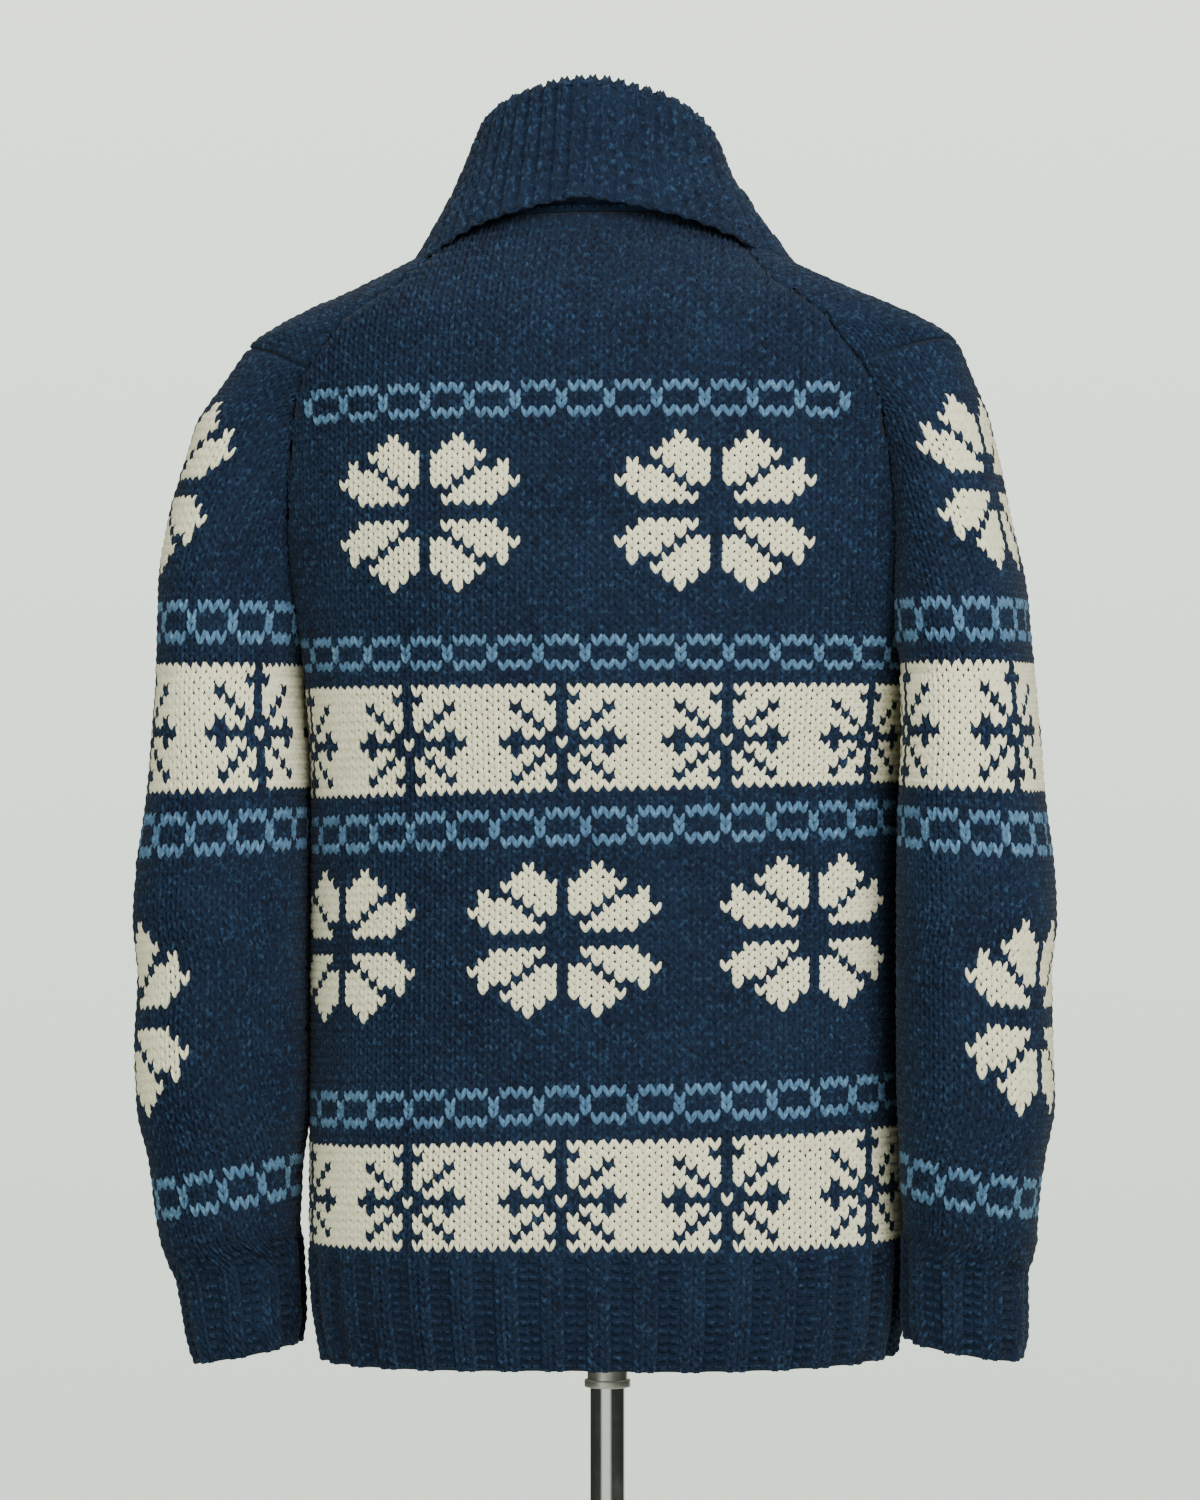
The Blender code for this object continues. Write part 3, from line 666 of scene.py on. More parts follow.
class StitchSheet:
    """Stitches gathered for one cloth, then built as a few pieces."""

    margin = 0.03                    # how far inside the cloth's edges every stitch stays, in stitches
    uneven = (0.022, 0.035, 0.08)    # the hand's unevenness across and up, and as a share of the rise

    def __init__(self, lattice: Lattice, low: Callable[[Array], Array], high: Callable[[Array], Array],
                 seed: int) -> None:
        """Starts a sheet.

        Args:
            lattice: the surface that the stitches lie on.
            low: the column of the cloth's one edge at a row.
            high: the column of its other edge.
            seed: the seed of the hand's small unevenness.
        """
        self.lattice, self.low, self.high = lattice, low, high
        self.random = np.random.default_rng(seed)
        self.points: dict[Yarn, list[Array]] = {yarn: [] for yarn in Yarn}
        self.uv: dict[Yarn, list[Array]] = {yarn: [] for yarn in Yarn}

    def add(self, columns: Array, rows: Array, yarns: Array, leg: LegShape, width: float = 1.0,
            turned: bool = False) -> None:
        """Adds knit stitches.

        Args:
            columns: the column of each stitch's middle.
            rows: the row of each stitch's foot.
            yarns: the value of each stitch's yarn.
            leg: the shape of its legs.
            width: how wide a stitch is, in columns.
            turned: whether the bumps of purl stitches are added instead, lying across the column.
        """
        columns, rows, yarns = (np.asarray(a, float).ravel() for a in (columns, rows, yarns))
        jitter = self.random.normal(0.0, 1.0, (3, len(columns)))[:, :, None]
        for side in (-1, 1):
            shape, uv = leg.outline(side)
            across, up = shape[:, 0], shape[:, 1]
            if turned:
                across, up = up * 0.62 * side - 0.12 * side, across * 0.9 * side + 0.30
            u = columns[:, None] + width * (across[None, :] + self.uneven[0] * jitter[0])
            v = rows[:, None] + up[None, :] + self.uneven[1] * jitter[1]
            u = np.clip(u, self.low(v) + self.margin, self.high(v) - self.margin)
            lift = shape[:, 2][None, :] * (1.0 + self.uneven[2] * jitter[2])
            made = self.lattice.at(u, v, lift)
            for yarn in Yarn:
                chosen = yarns == yarn.value
                self.points[yarn].append(made[chosen])
                self.uv[yarn].append(np.broadcast_to(uv, made[chosen].shape[:2] + (2,)))

    def build(self, name: str, materials: dict[Yarn, bpy.types.Material], mirror: bool = False,
              slot: str = "navy_wool") -> list[bpy.types.Object]:
        """Builds the pieces, one for the ground yarn and one for the pattern's yarns.

        Args:
            name: the cloth's name.
            materials: the yarns' materials.
            mirror: whether they go on the wearer's other side.
            slot: the record's material slot; not used.

        Returns:
            The pieces.
        """
        made = []
        for part, yarns in (("stitches", (Yarn.NAVY,)), ("pattern", (Yarn.SKY, Yarn.CREAM))):
            legs = [np.concatenate(self.points[yarn]) for yarn in yarns]
            counts = [len(group) for group in legs]
            if not sum(counts):
                continue
            points = np.concatenate(legs)
            uv = np.concatenate([np.concatenate(self.uv[yarn]) for yarn in yarns])
            if mirror:
                points = points * MIRRORED
            template = LegShape.faces()
            out = points[:, 5] - (points[:, 4] + points[:, 6]) / 2
            faced = np.cross(points[:, 5] - points[:, 1], points[:, 4] - points[:, 2])
            if np.sum(out * faced) < 0:
                template = [face[::-1] for face in template]
            size = points.shape[1]
            faces = [tuple(i + k * size for i in face) for k in range(len(points)) for face in template]
            slots = np.repeat(np.repeat(np.arange(len(yarns)), counts), len(template))
            piece = mesh_object(f"{name}_{part}", points.reshape(-1, 3), faces,
                                [materials[yarn] for yarn in yarns], slots, uv.reshape(-1, 2))
            made.append(piece)
        return made


@dataclass
class Cloth:
    """A cut piece of the garment: its lattice, its wall and the stitches on it."""

    name: str
    node: str
    flat: tuple[float, float]
    area: float
    mirror: bool = False
    seed: int = 1
    slot: str = "navy_wool"
    under: float = 0.0004    # how far the wall's face lies under the stitches' feet

    def declare(self, wall: bpy.types.Object, held: str, with_pieces: Sequence[bpy.types.Object]) -> None:
        """Hides the part's node, which the wall stands for.

        Args:
            wall: the wall; not used.
            held: how the cloth is held; not used.
            with_pieces: the stitches that lie on it; not used.
        """
        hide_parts(self.node)

    def shell(self, outer: Array, inner: Array, material: bpy.types.Material,
              with_pieces: Sequence[bpy.types.Object]) -> None:
        """Args:
            outer: the wall's outer points, as (row, column, 3).
            inner: its inner points.
            material: its material.
            with_pieces: the stitches that lie on it.
        """
        rows, columns = outer.shape[:2]
        points = np.concatenate([outer.reshape(-1, 3), inner.reshape(-1, 3)])
        if self.mirror:
            points = points * MIRRORED
        half = rows * columns
        faces = grid_faces(rows, columns) + grid_faces(rows, columns, half, True)
        for a in range(0, half - columns, columns):
            b = a + columns - 1
            faces.append((a, a + columns, half + a + columns, half + a))
            faces.append((b + columns, b, half + b, half + b + columns))
        top = half - columns
        for c in range(columns - 1):
            faces.append((c + 1, c, half + c, half + c + 1))
            faces.append((top + c, top + c + 1, half + top + c + 1, half + top + c))
        self.declare(mesh_object(self.name, points, faces, [material], closed=True), "hung", with_pieces)


@dataclass
class SeamedCloth(Cloth):
    """A cloth between two seams, each at its own column in every row."""

    def low(self, row: Array) -> Array:
        """The column of the first edge at a row."""
        return np.interp(row, self.rows, self.ends[0])

    def high(self, row: Array) -> Array:
        """The column of the second edge at a row."""
        return np.interp(row, self.rows, self.ends[1])

    def relief(self, columns: Array, rows: Array) -> Array:
        """How far ribs stand out of the cloth there; a plain cloth has none."""
        return np.zeros(columns.shape)

    def add_wall(self, rows: Array, across: int, material: bpy.types.Material,
                 stitches: Sequence[bpy.types.Object]) -> None:
        """Builds the wall under the stitches.

        Args:
            rows: the rows that its points lie on.
            across: how many faces lie between its edges.
            material: its material.
            stitches: the stitches that lie on it.
        """
        low, high = self.low(rows)[:, None], self.high(rows)[:, None]
        columns = low + (high - low) * np.linspace(0.0, 1.0, across + 1)[None, :]
        tall = np.broadcast_to(rows[:, None], columns.shape)
        outer = self.lattice.at(columns, tall, -self.under)
        inner = self.lattice.at(columns, tall, -WALL - self.relief(columns, tall))
        self.shell(outer, inner, material, stitches)


@dataclass
class RibbedCloth(SeamedCloth):
    """A seamed cloth that starts with two-by-two ribbing, in the rows below 0."""

    ribs: int = BACK_RIBS

    def rib_share(self, share: Array) -> Array:
        """A share of the width, counted from the edge where the ribbing starts."""
        return share

    def relief(self, columns: Array, rows: Array) -> Array:
        """How far the ribs stand out; they die away where the ribbing ends.

        Args:
            columns: the places' columns.
            rows: the places' rows.

        Returns:
            The rise, in metres.
        """
        low, high = self.low(rows), self.high(rows)
        phase = self.ribs * self.rib_share((columns - low) / (high - low))
        rise = RIB_RAISE * np.clip(0.5 + 0.8 * np.cos(2 * math.pi * (phase - RIB_MIDDLE)), 0.0, 1.0)
        return rise * (1 - smooth((rows + 1.0) / 1.5))

    def raise_ribs(self) -> None:
        """Raises the ribs in the lattice."""
        columns, rows = np.meshgrid(self.lattice.columns, self.lattice.rows)
        rise = self.relief(columns, rows)[..., None]
        self.lattice.points = self.lattice.points + self.lattice.normals * rise
        self.lattice.lean_normals()

    def knit_ribs(self, sheet: StitchSheet, count: int) -> None:
        """Knits the ribbing: two columns of legs on each rib and two of purl bumps in each hollow.

        Args:
            sheet: the sheet that the stitches go on.
            count: how many rows of ribbing there are.
        """
        share = self.rib_share((np.arange(self.ribs) + RIB_MIDDLE) / self.ribs)
        for row in range(-count, 0):
            low, high = float(self.low(row)), float(self.high(row))
            middle = low + (high - low) * share
            for off in (-RIB_LEG, RIB_LEG):
                sheet.add(middle + off, np.full(self.ribs, row), np.zeros(self.ribs), LegShape())
            hollow = middle + (high - low) / self.ribs / 2
            hollow = np.concatenate([hollow - RIB_HOLLOW, hollow + RIB_HOLLOW])
            hollow = hollow[(hollow > low) & (hollow < high)]
            sheet.add(hollow, np.full(len(hollow), row), np.zeros(len(hollow)), PURL, 0.95, True)


BODY_BANDS = (
    PatternBand(Motif.TREES, 1, (0.0,)),
    PatternBand(Motif.CHAIN, 15, (-2.0,)),
    PatternBand(Motif.FLOWERS, 27, (-22.0, 0.0, 22.0)),
    PatternBand(Motif.CHAIN, 47, (-2.0,)),
    PatternBand(Motif.TREES, 53, (0.0,)),
    PatternBand(Motif.CHAIN, 67, (-2.0,)),
    PatternBand(Motif.FLOWERS, 76, (-13.0, 12.0)),
    PatternBand(Motif.CHAIN, 96, (0.0,), 24.5),
)


def sleeve_bands(flowers: float, trees: float) -> tuple[PatternBand, ...]:
    """The bands of a sleeve.

    Args:
        flowers: the column that the flowers stand on.
        trees: the column that a trunk stands on.

    Returns:
        The bands.
    """
    return (
        PatternBand(Motif.CHAIN, 4, (-2.0,)),
        PatternBand(Motif.FLOWERS, 14, (flowers,)),
        PatternBand(Motif.CHAIN, 38, (-2.0,)),
        PatternBand(Motif.TREES, 44, (trees,)),
        PatternBand(Motif.CHAIN, 58, (-2.0,)),
        PatternBand(Motif.FLOWERS, 65, (flowers,)),
    )


def yarn_values(bands: Sequence[PatternBand], row: int, columns: Array) -> Array:
    """The yarns of a row of stitches.

    Args:
        bands: the cloth's pattern bands.
        row: the row.
        columns: the stitches' columns.

    Returns:
        The value of each stitch's yarn.
    """
    for band in bands:
        if band.first_row <= row < band.first_row + band.rows:
            return np.array([band.yarn(row, column).value for column in columns])
    return np.zeros(len(columns))


@dataclass
class BodyPanel(RibbedCloth):
    """The back, or a front, with its ribbed hem."""

    is_back: bool = True
    shift: float = 0.0       # how far the pattern's middle lies from the centre back, in stitches
    bands: tuple[PatternBand, ...] = BODY_BANDS
    reach: float = 39.0      # stitches from the centre to the end of the lattice
    margin: float = 0.12     # stitches between a seam and the nearest column

    def __post_init__(self) -> None:
        """Lays the panel's lattice round the body."""
        first_row = -float(RIB_ROWS)
        rows = half_steps(first_row, NECK_ROW)
        heights = row_height(np.minimum(rows, NECK_ROW))
        turns, walks = body_arcs(heights)
        side = interp_rows(np.full((len(rows), 1), math.pi / 2), turns, walks)[:, 0]
        ends = np.zeros(len(rows)) if self.is_back else walks[:, -1]
        pitch = np.abs(side - ends) / HALF_BACK
        pitch[heights > UNDERARM_H] = np.interp(UNDERARM_H, heights, pitch)
        columns = np.arange(-self.reach if self.is_back else 0.0, self.reach + STEP / 2, STEP)
        arcs = (columns[None, :] + self.shift) * pitch[:, None]
        if self.is_back:
            angles = np.sign(arcs) * interp_rows(np.abs(arcs), walks, turns)
        else:
            angles = interp_rows(np.clip(ends[:, None] - arcs, 0, None), walks, turns)
        left, right = LEFT_DROP.read(1, rows)[:, None], RIGHT_LIFT.read(1, rows)[:, None]
        sideways = np.sin(angles) * (-1.0 if self.mirror else 1.0)
        tall = heights[:, None] - sideways * np.where(sideways > 0, left, right)
        points, normals = body_point(angles, tall), body_normal(angles, tall)
        self.lattice = Lattice(columns[0], first_row, STEP, points, normals)
        self.rows, self.ends = rows, self._ends(heights, turns, walks, pitch)
        self.raise_ribs()

    def _ends(self, heights: Array, turns: Array, walks: Array, pitch: Array) -> tuple[Array, Array]:
        """Works out where the panel's two edges lie.

        Args:
            heights: the rows' heights.
            turns: angles round the body.
            walks: the distance round to each angle, for each row.
            pitch: the width of a stitch, for each row.

        Returns:
            The columns of the two edges at each row.
        """
        table = BACK_EDGE if self.is_back else FRONT_EDGE
        edge = interp_rows(np.radians(table.read(1, heights))[:, None], turns, walks)[:, 0]
        if self.is_back:
            high = (edge - GAP / 2) / pitch
            return -high - self.shift, high - self.shift
        inner = interp_rows(front_edge_angle(heights)[:, None], turns, walks)[:, 0]
        return (walks[:, -1] - inner) / pitch, (walks[:, -1] - edge - GAP / 2) / pitch

    def rib_share(self, share: Array) -> Array:
        """A share of the width, counted from the side seam of a front."""
        return share if self.is_back else 1 - share

    def build(self, materials: dict[Yarn, bpy.types.Material], wall: bpy.types.Material) -> None:
        """Builds the panel's knitting and wall.

        Args:
            materials: the yarns' materials.
            wall: the wall's material.
        """
        sheet = StitchSheet(self.lattice, self.low, self.high, self.seed)
        self.knit_ribs(sheet, RIB_ROWS)
        for row in range(int(NECK_ROW)):
            low, high = float(self.low(row + 0.5)), float(self.high(row + 0.5))
            columns = np.arange(math.ceil(low), math.floor(high) + 1)
            if not self.is_back:
                columns = np.arange(math.ceil(low - 0.5), math.floor(high + 0.5)) + 0.5
            columns = columns[(columns > low + self.margin) & (columns < high - self.margin)]
            sheet.add(columns, np.full(len(columns), row), yarn_values(self.bands, row, columns), LegShape())
        stitches = sheet.build(self.name, materials, self.mirror, self.slot)
        rows = np.concatenate([np.arange(-RIB_ROWS, 1.0, 2.0), np.arange(2.0, NECK_ROW + 0.1, 2.0)])
        self.add_wall(rows, self.ribs * 4, wall, stitches)


@dataclass
class Strap(SeamedCloth):
    """The strap over a shoulder, knitted from the sleeve towards the neck."""

    reach: float = 22.0      # stitches from the ridge to the end of the lattice

    def __post_init__(self) -> None:
        """Lays the strap's lattice, from the back seam to the front seam."""
        across = np.linspace(-1.0, 1.0, 81)
        fine = np.linspace(CORNER_H, NECK_H, 60)
        ridge = walk_along(self._place(np.zeros((1, 1)), fine[None, :])[0])[0]
        self.last_row = ridge[-1] / ROW
        rows = half_steps(0.0, self.last_row)
        heights = np.interp(rows * ROW, ridge, fine)
        walks = walk_along(self._place(across[None, :], heights[:, None])[0])
        middle = walks[:, len(across) // 2, None]
        columns = np.arange(-self.reach, self.reach + STEP / 2, STEP)
        asked = middle + columns[None, :] * STRAP_STITCH
        share = interp_rows(np.clip(asked, 0, walks[:, -1:]), walks, across)
        points, normals = self._place(share, np.broadcast_to(heights[:, None], share.shape))
        self.lattice = Lattice(-self.reach, 0.0, STEP, points, normals)
        self.lattice.lean_normals()
        self.rows = rows
        self.ends = -middle[:, 0] / STRAP_STITCH, (walks[:, -1] - middle[:, 0]) / STRAP_STITCH

    @staticmethod
    def _place(across: Array, height: Array) -> tuple[Array, Array]:
        """Places on the strap.

        Args:
            across: -1 at the back seam and 1 at the front seam.
            height: heights above the hem.

        Returns:
            The points and normals there.
        """
        back = np.radians(BACK_EDGE.read(1, height)) + SEAM_TUCK
        front = np.radians(FRONT_EDGE.read(1, height)) - SEAM_TUCK
        angle = back + (front - back) * (across + 1) / 2
        level = height + STRAP_RISE.read(1, height) * (1 - across * across)
        return body_point(angle, level), body_normal(angle, level)

    def build(self, materials: dict[Yarn, bpy.types.Material], wall: bpy.types.Material) -> None:
        """Builds the strap's knitting and wall.

        Args:
            materials: the yarns' materials.
            wall: the wall's material.
        """
        sheet = StitchSheet(self.lattice, self.low, self.high, self.seed)
        for row in range(int(self.last_row)):
            low, high = float(self.low(row + 0.5)), float(self.high(row + 0.5))
            columns = np.arange(math.ceil(low + 0.1), math.floor(high - 0.1) + 1)
            sheet.add(columns, np.full(len(columns), row + 0.4), np.zeros(len(columns)), LegShape())
        stitches = sheet.build(self.name, materials, self.mirror, self.slot)
        self.add_wall(np.linspace(0.0, self.last_row, 15), 20, wall, stitches)


@dataclass
class SleeveCloth(RibbedCloth):
    """A sleeve with its ribbed cuff, knitted in the round and shaped over the top."""

    ribs: int = CUFF_RIBS
    bands: tuple[PatternBand, ...] = ()
    length: float = 1.0      # how far down it hangs from the underarm, as a share of the left sleeve
    nearer: float = 0.0      # how much nearer the body its inner line hangs between cuff and underarm
    head_rows: float = 8.0   # rows from the top of the tables to the shoulder's corner
    reach: float = 34.0      # stitches from the outer line to the end of the lattice

    def __post_init__(self) -> None:
        """Lays the sleeve's lattice round the arm."""
        self.cap_row = UPPER_FROM + (CAP_TOP - CUFF_TOP - UPPER_FROM * SLEEVE_ROW) / UPPER_ROW
        self.last_row = self.cap_row + self.head_rows
        first_row = -float(CUFF_ROWS)
        rows = half_steps(first_row, self.last_row)
        turns = np.linspace(-1.0, 1.0, 241)
        walks = walk_along(self._ring(turns[None, :], rows[:, None]))
        middle = walks[:, len(turns) // 2, None]
        columns = np.arange(-self.reach, self.reach + STEP / 2, STEP)
        cuff_pitch = self._cuff_pitch()
        pitch = np.interp(rows, (first_row, 0.0, 6.0), (cuff_pitch, cuff_pitch, SLEEVE_STITCH))
        asked = middle + columns[None, :] * pitch[:, None]
        share = interp_rows(np.clip(asked, 0, walks[:, -1:]), walks, turns)
        points = self._ring(share, np.broadcast_to(rows[:, None], share.shape))
        self.rows = rows
        self.ends = -middle[:, 0] / pitch, (walks[:, -1] - middle[:, 0]) / pitch
        self.lattice = Lattice(-self.reach, first_row, STEP, points, self._normals(share, rows))
        self.raise_ribs()

    def _cuff_pitch(self) -> float:
        """The width of a stitch in the cuff."""
        ring = self._ring(np.linspace(-1.0, 1.0, 121)[None, :], np.full((1, 1), -CUFF_ROWS / 2))
        return float(walk_along(ring)[0, -1]) / (self.ribs * 4)

    def _height(self, row: Array) -> Array:
        """Heights of the sleeve's rows, up to the top of the tables.

        Args:
            row: the rows.

        Returns:
            Their heights above the hem.
        """
        cuff = CUFF_TOP + row * (CUFF_TOP + 0.004) / CUFF_ROWS
        tube = CUFF_TOP + np.minimum(row, UPPER_FROM) * SLEEVE_ROW
        tube = tube + np.clip(row - UPPER_FROM, 0, None) * UPPER_ROW
        return np.minimum(np.where(row < 0, cuff, tube), CAP_TOP)

    def _ring(self, turn: Array, row: Array) -> Array:
        """Points of the sleeve, drawn to the armhole above the underarm and to the strap at the top.

        Args:
            turn: -1 at the back edge, 0 at the outer line and 1 at the front edge.
            row: their rows.

        Returns:
            The points.
        """
        height = self._height(row)
        point = self._arm(turn, height)
        back = np.radians(BACK_EDGE.read(1, height)) + SEAM_TUCK
        front = np.radians(FRONT_EDGE.read(1, height)) - SEAM_TUCK
        target = body_point(np.where(turn < 0, back, front), height)
        end = self._arm(np.where(turn < 0, -1.0, 1.0), height)
        blend = np.abs(turn) ** 3 * smooth((height - UNDERARM_H + 0.006) / 0.006)
        point = point + blend[..., None] * (target - end)
        above = np.clip((row - self.cap_row) / self.head_rows, 0.0, None)
        angle = (np.radians(BACK_EDGE.read(1, CORNER_H)) + SEAM_TUCK) * (1 - turn) / 2
        angle = angle + (np.radians(FRONT_EDGE.read(1, CORNER_H)) - SEAM_TUCK) * (1 + turn) / 2
        head = body_point(angle, CORNER_H + STRAP_RISE.read(1, CORNER_H) * (1 - turn * turn))
        return point + above[..., None] * (head - point)

    def _arm(self, turn: Array, height: Array) -> Array:
        """Points of the sleeve before it is drawn to the armhole.

        Args:
            turn: -1 at the back edge, 0 at the outer line and 1 at the front edge.
            height: their heights above the hem.

        Returns:
            The points.
        """
        outer_x = SLEEVE.read(2 if self.mirror else 1, height)
        inner_x, centre_y, half_depth, tilt, wrap = (SLEEVE.read(i, height) for i in range(3, 8))
        free = smooth((height - 0.09) / 0.05) * (1 - smooth((height - 0.35) / 0.05))
        inner_x = inner_x - self.nearer * free
        level = height + (UNDERARM_H - np.minimum(height, UNDERARM_H)) * (1 - self.length)
        power = 2 / 2.25
        angle = np.radians(wrap) * turn
        c, s = np.cos(angle), np.sin(angle)
        x = (outer_x + inner_x) / 2 + (outer_x - inner_x) / 2 * signed_power(c, power)
        y = centre_y - half_depth * signed_power(s, power)
        return np.stack(np.broadcast_arrays(x, y, HEM_Z + level - tilt * c), axis=-1)

    def _normals(self, turn: Array, rows: Array) -> Array:
        """The sleeve's outward normals.

        Args:
            turn: places round the sleeve, as (row, place).
            rows: their rows.

        Returns:
            The normals.
        """
        nudge, lift = 0.012, 0.35
        tall = np.broadcast_to(rows[:, None], turn.shape)
        inside = np.clip(turn, -1 + nudge, 1 - nudge)
        across = self._ring(inside + nudge, tall) - self._ring(inside - nudge, tall)
        up = self._ring(inside, tall + lift) - self._ring(inside, tall - lift)
        return unit(np.cross(up, across))

    def build(self, materials: dict[Yarn, bpy.types.Material], wall: bpy.types.Material) -> None:
        """Builds the sleeve's knitting and wall.

        Args:
            materials: the yarns' materials.
            wall: the wall's material.
        """
        sheet = StitchSheet(self.lattice, self.low, self.high, self.seed)
        self.knit_ribs(sheet, CUFF_ROWS)
        for row in range(int(self.last_row)):
            low, high = float(self.low(row + 0.5)), float(self.high(row + 0.5))
            columns = np.arange(math.ceil(low - 0.3), math.floor(high + 0.3) + 1)
            sheet.add(columns, np.full(len(columns), row), yarn_values(self.bands, row, columns), LegShape())
        stitches = sheet.build(self.name, materials, self.mirror, self.slot)
        rows = np.concatenate([np.linspace(-CUFF_ROWS, 1.0, 9), np.linspace(3.0, self.last_row, 44)])
        self.add_wall(rows, self.ribs * 4, wall, stitches)


class Neckline:
    """The line that the collar is sewn to, from the left break round the neck to the right break."""

    def __init__(self) -> None:
        """Works out the line's points, normals and distances."""
        heights = np.linspace(UNDERARM_H + 0.001, NECK_H, 60)
        edge = front_edge_angle(heights)
        angles = np.concatenate([edge, np.linspace(edge[-1], 0.0, 50)[1:]])
        levels = np.concatenate([heights, np.full(49, NECK_H)])
        points, normals = body_point(angles, levels), body_normal(angles, levels)
        self.points = np.concatenate([points, points[-2::-1] * MIRRORED])
        self.normals = np.concatenate([normals, normals[-2::-1] * MIRRORED])
        self.walk = walk_along(self.points[None])[0]
        self.length = float(self.walk[-1])

    def point(self, along: float) -> Array:
        """The line's point at a distance along it."""
        along = min(max(along, 0.0), self.length)
        return np.array([np.interp(along, self.walk, self.points[:, i]) for i in range(3)])

    def normal(self, along: float) -> Array:
        """The cloth's normal at a distance along the line."""
        return unit(np.array([np.interp(along, self.walk, self.normals[:, i]) for i in range(3)]))


@dataclass
class CollarCloth(Cloth):
    """The folded shawl collar, ribbed one by one across its length."""

    fine: int = 4            # columns of the lattice in a rib
    path_points: int = 44
    rib_rise: float = 0.0024
    centre_y: float = 0.012  # the middle of the neck, which the stand leans to
    narrower: float = 0.09   # how much nearer the neck the wearer's right side sits
    stitch_leg: LegShape = field(default_factory=lambda: LegShape(
        (0.05, -0.42), (0.27, 0.92), ((0.18, 0.14, 0.8), (0.52, 0.19, 1.0), (0.86, 0.16, 0.72)), 0.0021))
    seam_from: float = 0.26  # where the ridge of the seam starts, as a distance along the neckline
    near_by: float = 0.010   # how far round a point of the flap the body is felt

    def __post_init__(self) -> None:
        """Lays the collar's lattice from inside the stand, over the fold and down the flap."""
        self.line = Neckline()
        spots = [(math.radians(a), h) for a in range(30, 181, 4) for h in np.arange(0.38, 0.667, 0.011)]
        angles, heights = (np.array(column) for column in zip(*spots))
        self.body, self.body_normals = body_point(angles, heights), body_normal(angles, heights)
        stations = COLLAR_RIBS * self.fine
        placed = [self._station(self.line.length * k / stations) for k in range(stations + 1)]
        faces, self.inner = (np.array(side) for side in zip(*placed))
        walks = walk_along(faces)
        self.ends = walks[:, -1] / ROW
        tall = half_steps(0.0, self.ends.max()) * ROW
        columns = []
        for walk, face in zip(walks, faces):
            over = np.clip(tall - walk[-1], 0, None)[:, None] * unit(face[-1] - face[-2])
            columns.append(np.stack([np.interp(tall, walk, face[:, i]) for i in range(3)], axis=1) + over)
        points = np.stack(columns, axis=1)
        self.lattice = Lattice(0.0, 0.0, 1.0 / self.fine, points, self._rough_normals(points))
        self.lattice.lean_normals()
        self._raise_ribs()

    def _rough_normals(self, points: Array) -> Array:
        """Normals that only say which side is out."""
        return np.cross(np.gradient(points, axis=0), np.gradient(points, axis=1))

    def _station(self, along: float) -> tuple[Array, Array]:
        """Cuts through the collar at one place of the neckline.

        Args:
            along: the distance along the neckline.

        Returns:
            The outer face from inside the stand to the flap's edge, and the inner points of the fold.
        """
        near = min(along, self.line.length - along)
        stand, flap, lay, lean, flare = (float(COLLAR.read(i, near)) for i in range(1, 6))
        wall, slot = COLLAR_WALL, COLLAR_SLOT
        out = slot + wall
        face = np.array([
            (0.0, -wall), (stand * 0.5, -wall), (stand - 0.012, -wall), (stand - 0.004, -wall * 0.75),
            (stand - 0.0006, -wall * 0.15), (stand, slot / 2), (stand - 0.0006, out * 0.62),
            (stand - 0.004, out * 0.93), (stand - 0.010, out + flare * 0.02),
            (stand - flap * 0.38, out + flare * 0.15), (stand - flap * 0.7, out + flare * 0.55),
            (stand - flap, out + flare),
        ])
        inner = np.array([
            (stand - flap, slot + flare), (stand - flap * 0.55, slot + flare * 0.45), (stand - 0.009, slot),
            (stand - 0.009, 0.0), (stand * 0.5, 0.0), (0.0, 0.0),
        ])
        walk = walk_along(face[None])[0]
        fine = np.linspace(0.0, walk[-1], self.path_points)
        face = np.stack([Table(tuple(zip(walk, face[:, i]))).read(1, fine) for i in range(2)], axis=1)
        base, normal = self.line.point(along), self.line.normal(along)
        forward = unit(self.line.point(along + 0.008) - self.line.point(along - 0.008))
        opening = unit(np.cross(normal, forward))
        inward = unit(np.array([-base[0], self.centre_y - base[1], 0.0]))
        stand_way = unit(unit(np.array([0, 0, 1.0]) + lean * inward) * (1 - lay) + opening * lay)
        stand_way = unit(stand_way - (stand_way @ forward) * forward)
        out_way = np.cross(forward, stand_way)
        start = base + opening * GAP * 1.5
        placed = [start + section[:, :1] * stand_way + section[:, 1:] * out_way for section in (face, inner)]
        for points in placed:
            squeeze = self.narrower * smooth((points[:, 2] - HEM_Z - 0.655) / 0.05)
            points[:, 0] *= 1 - np.where(points[:, 0] < 0, squeeze, 0.0)
        on_flap = face[:, 1] > out - 0.0002
        placed[0][on_flap] = self._clear(placed[0][on_flap], COLLAR_SLOT + COLLAR_WALL)
        placed[1][:2] = self._clear(placed[1][:2], COLLAR_SLOT)
        return placed[0], placed[1]

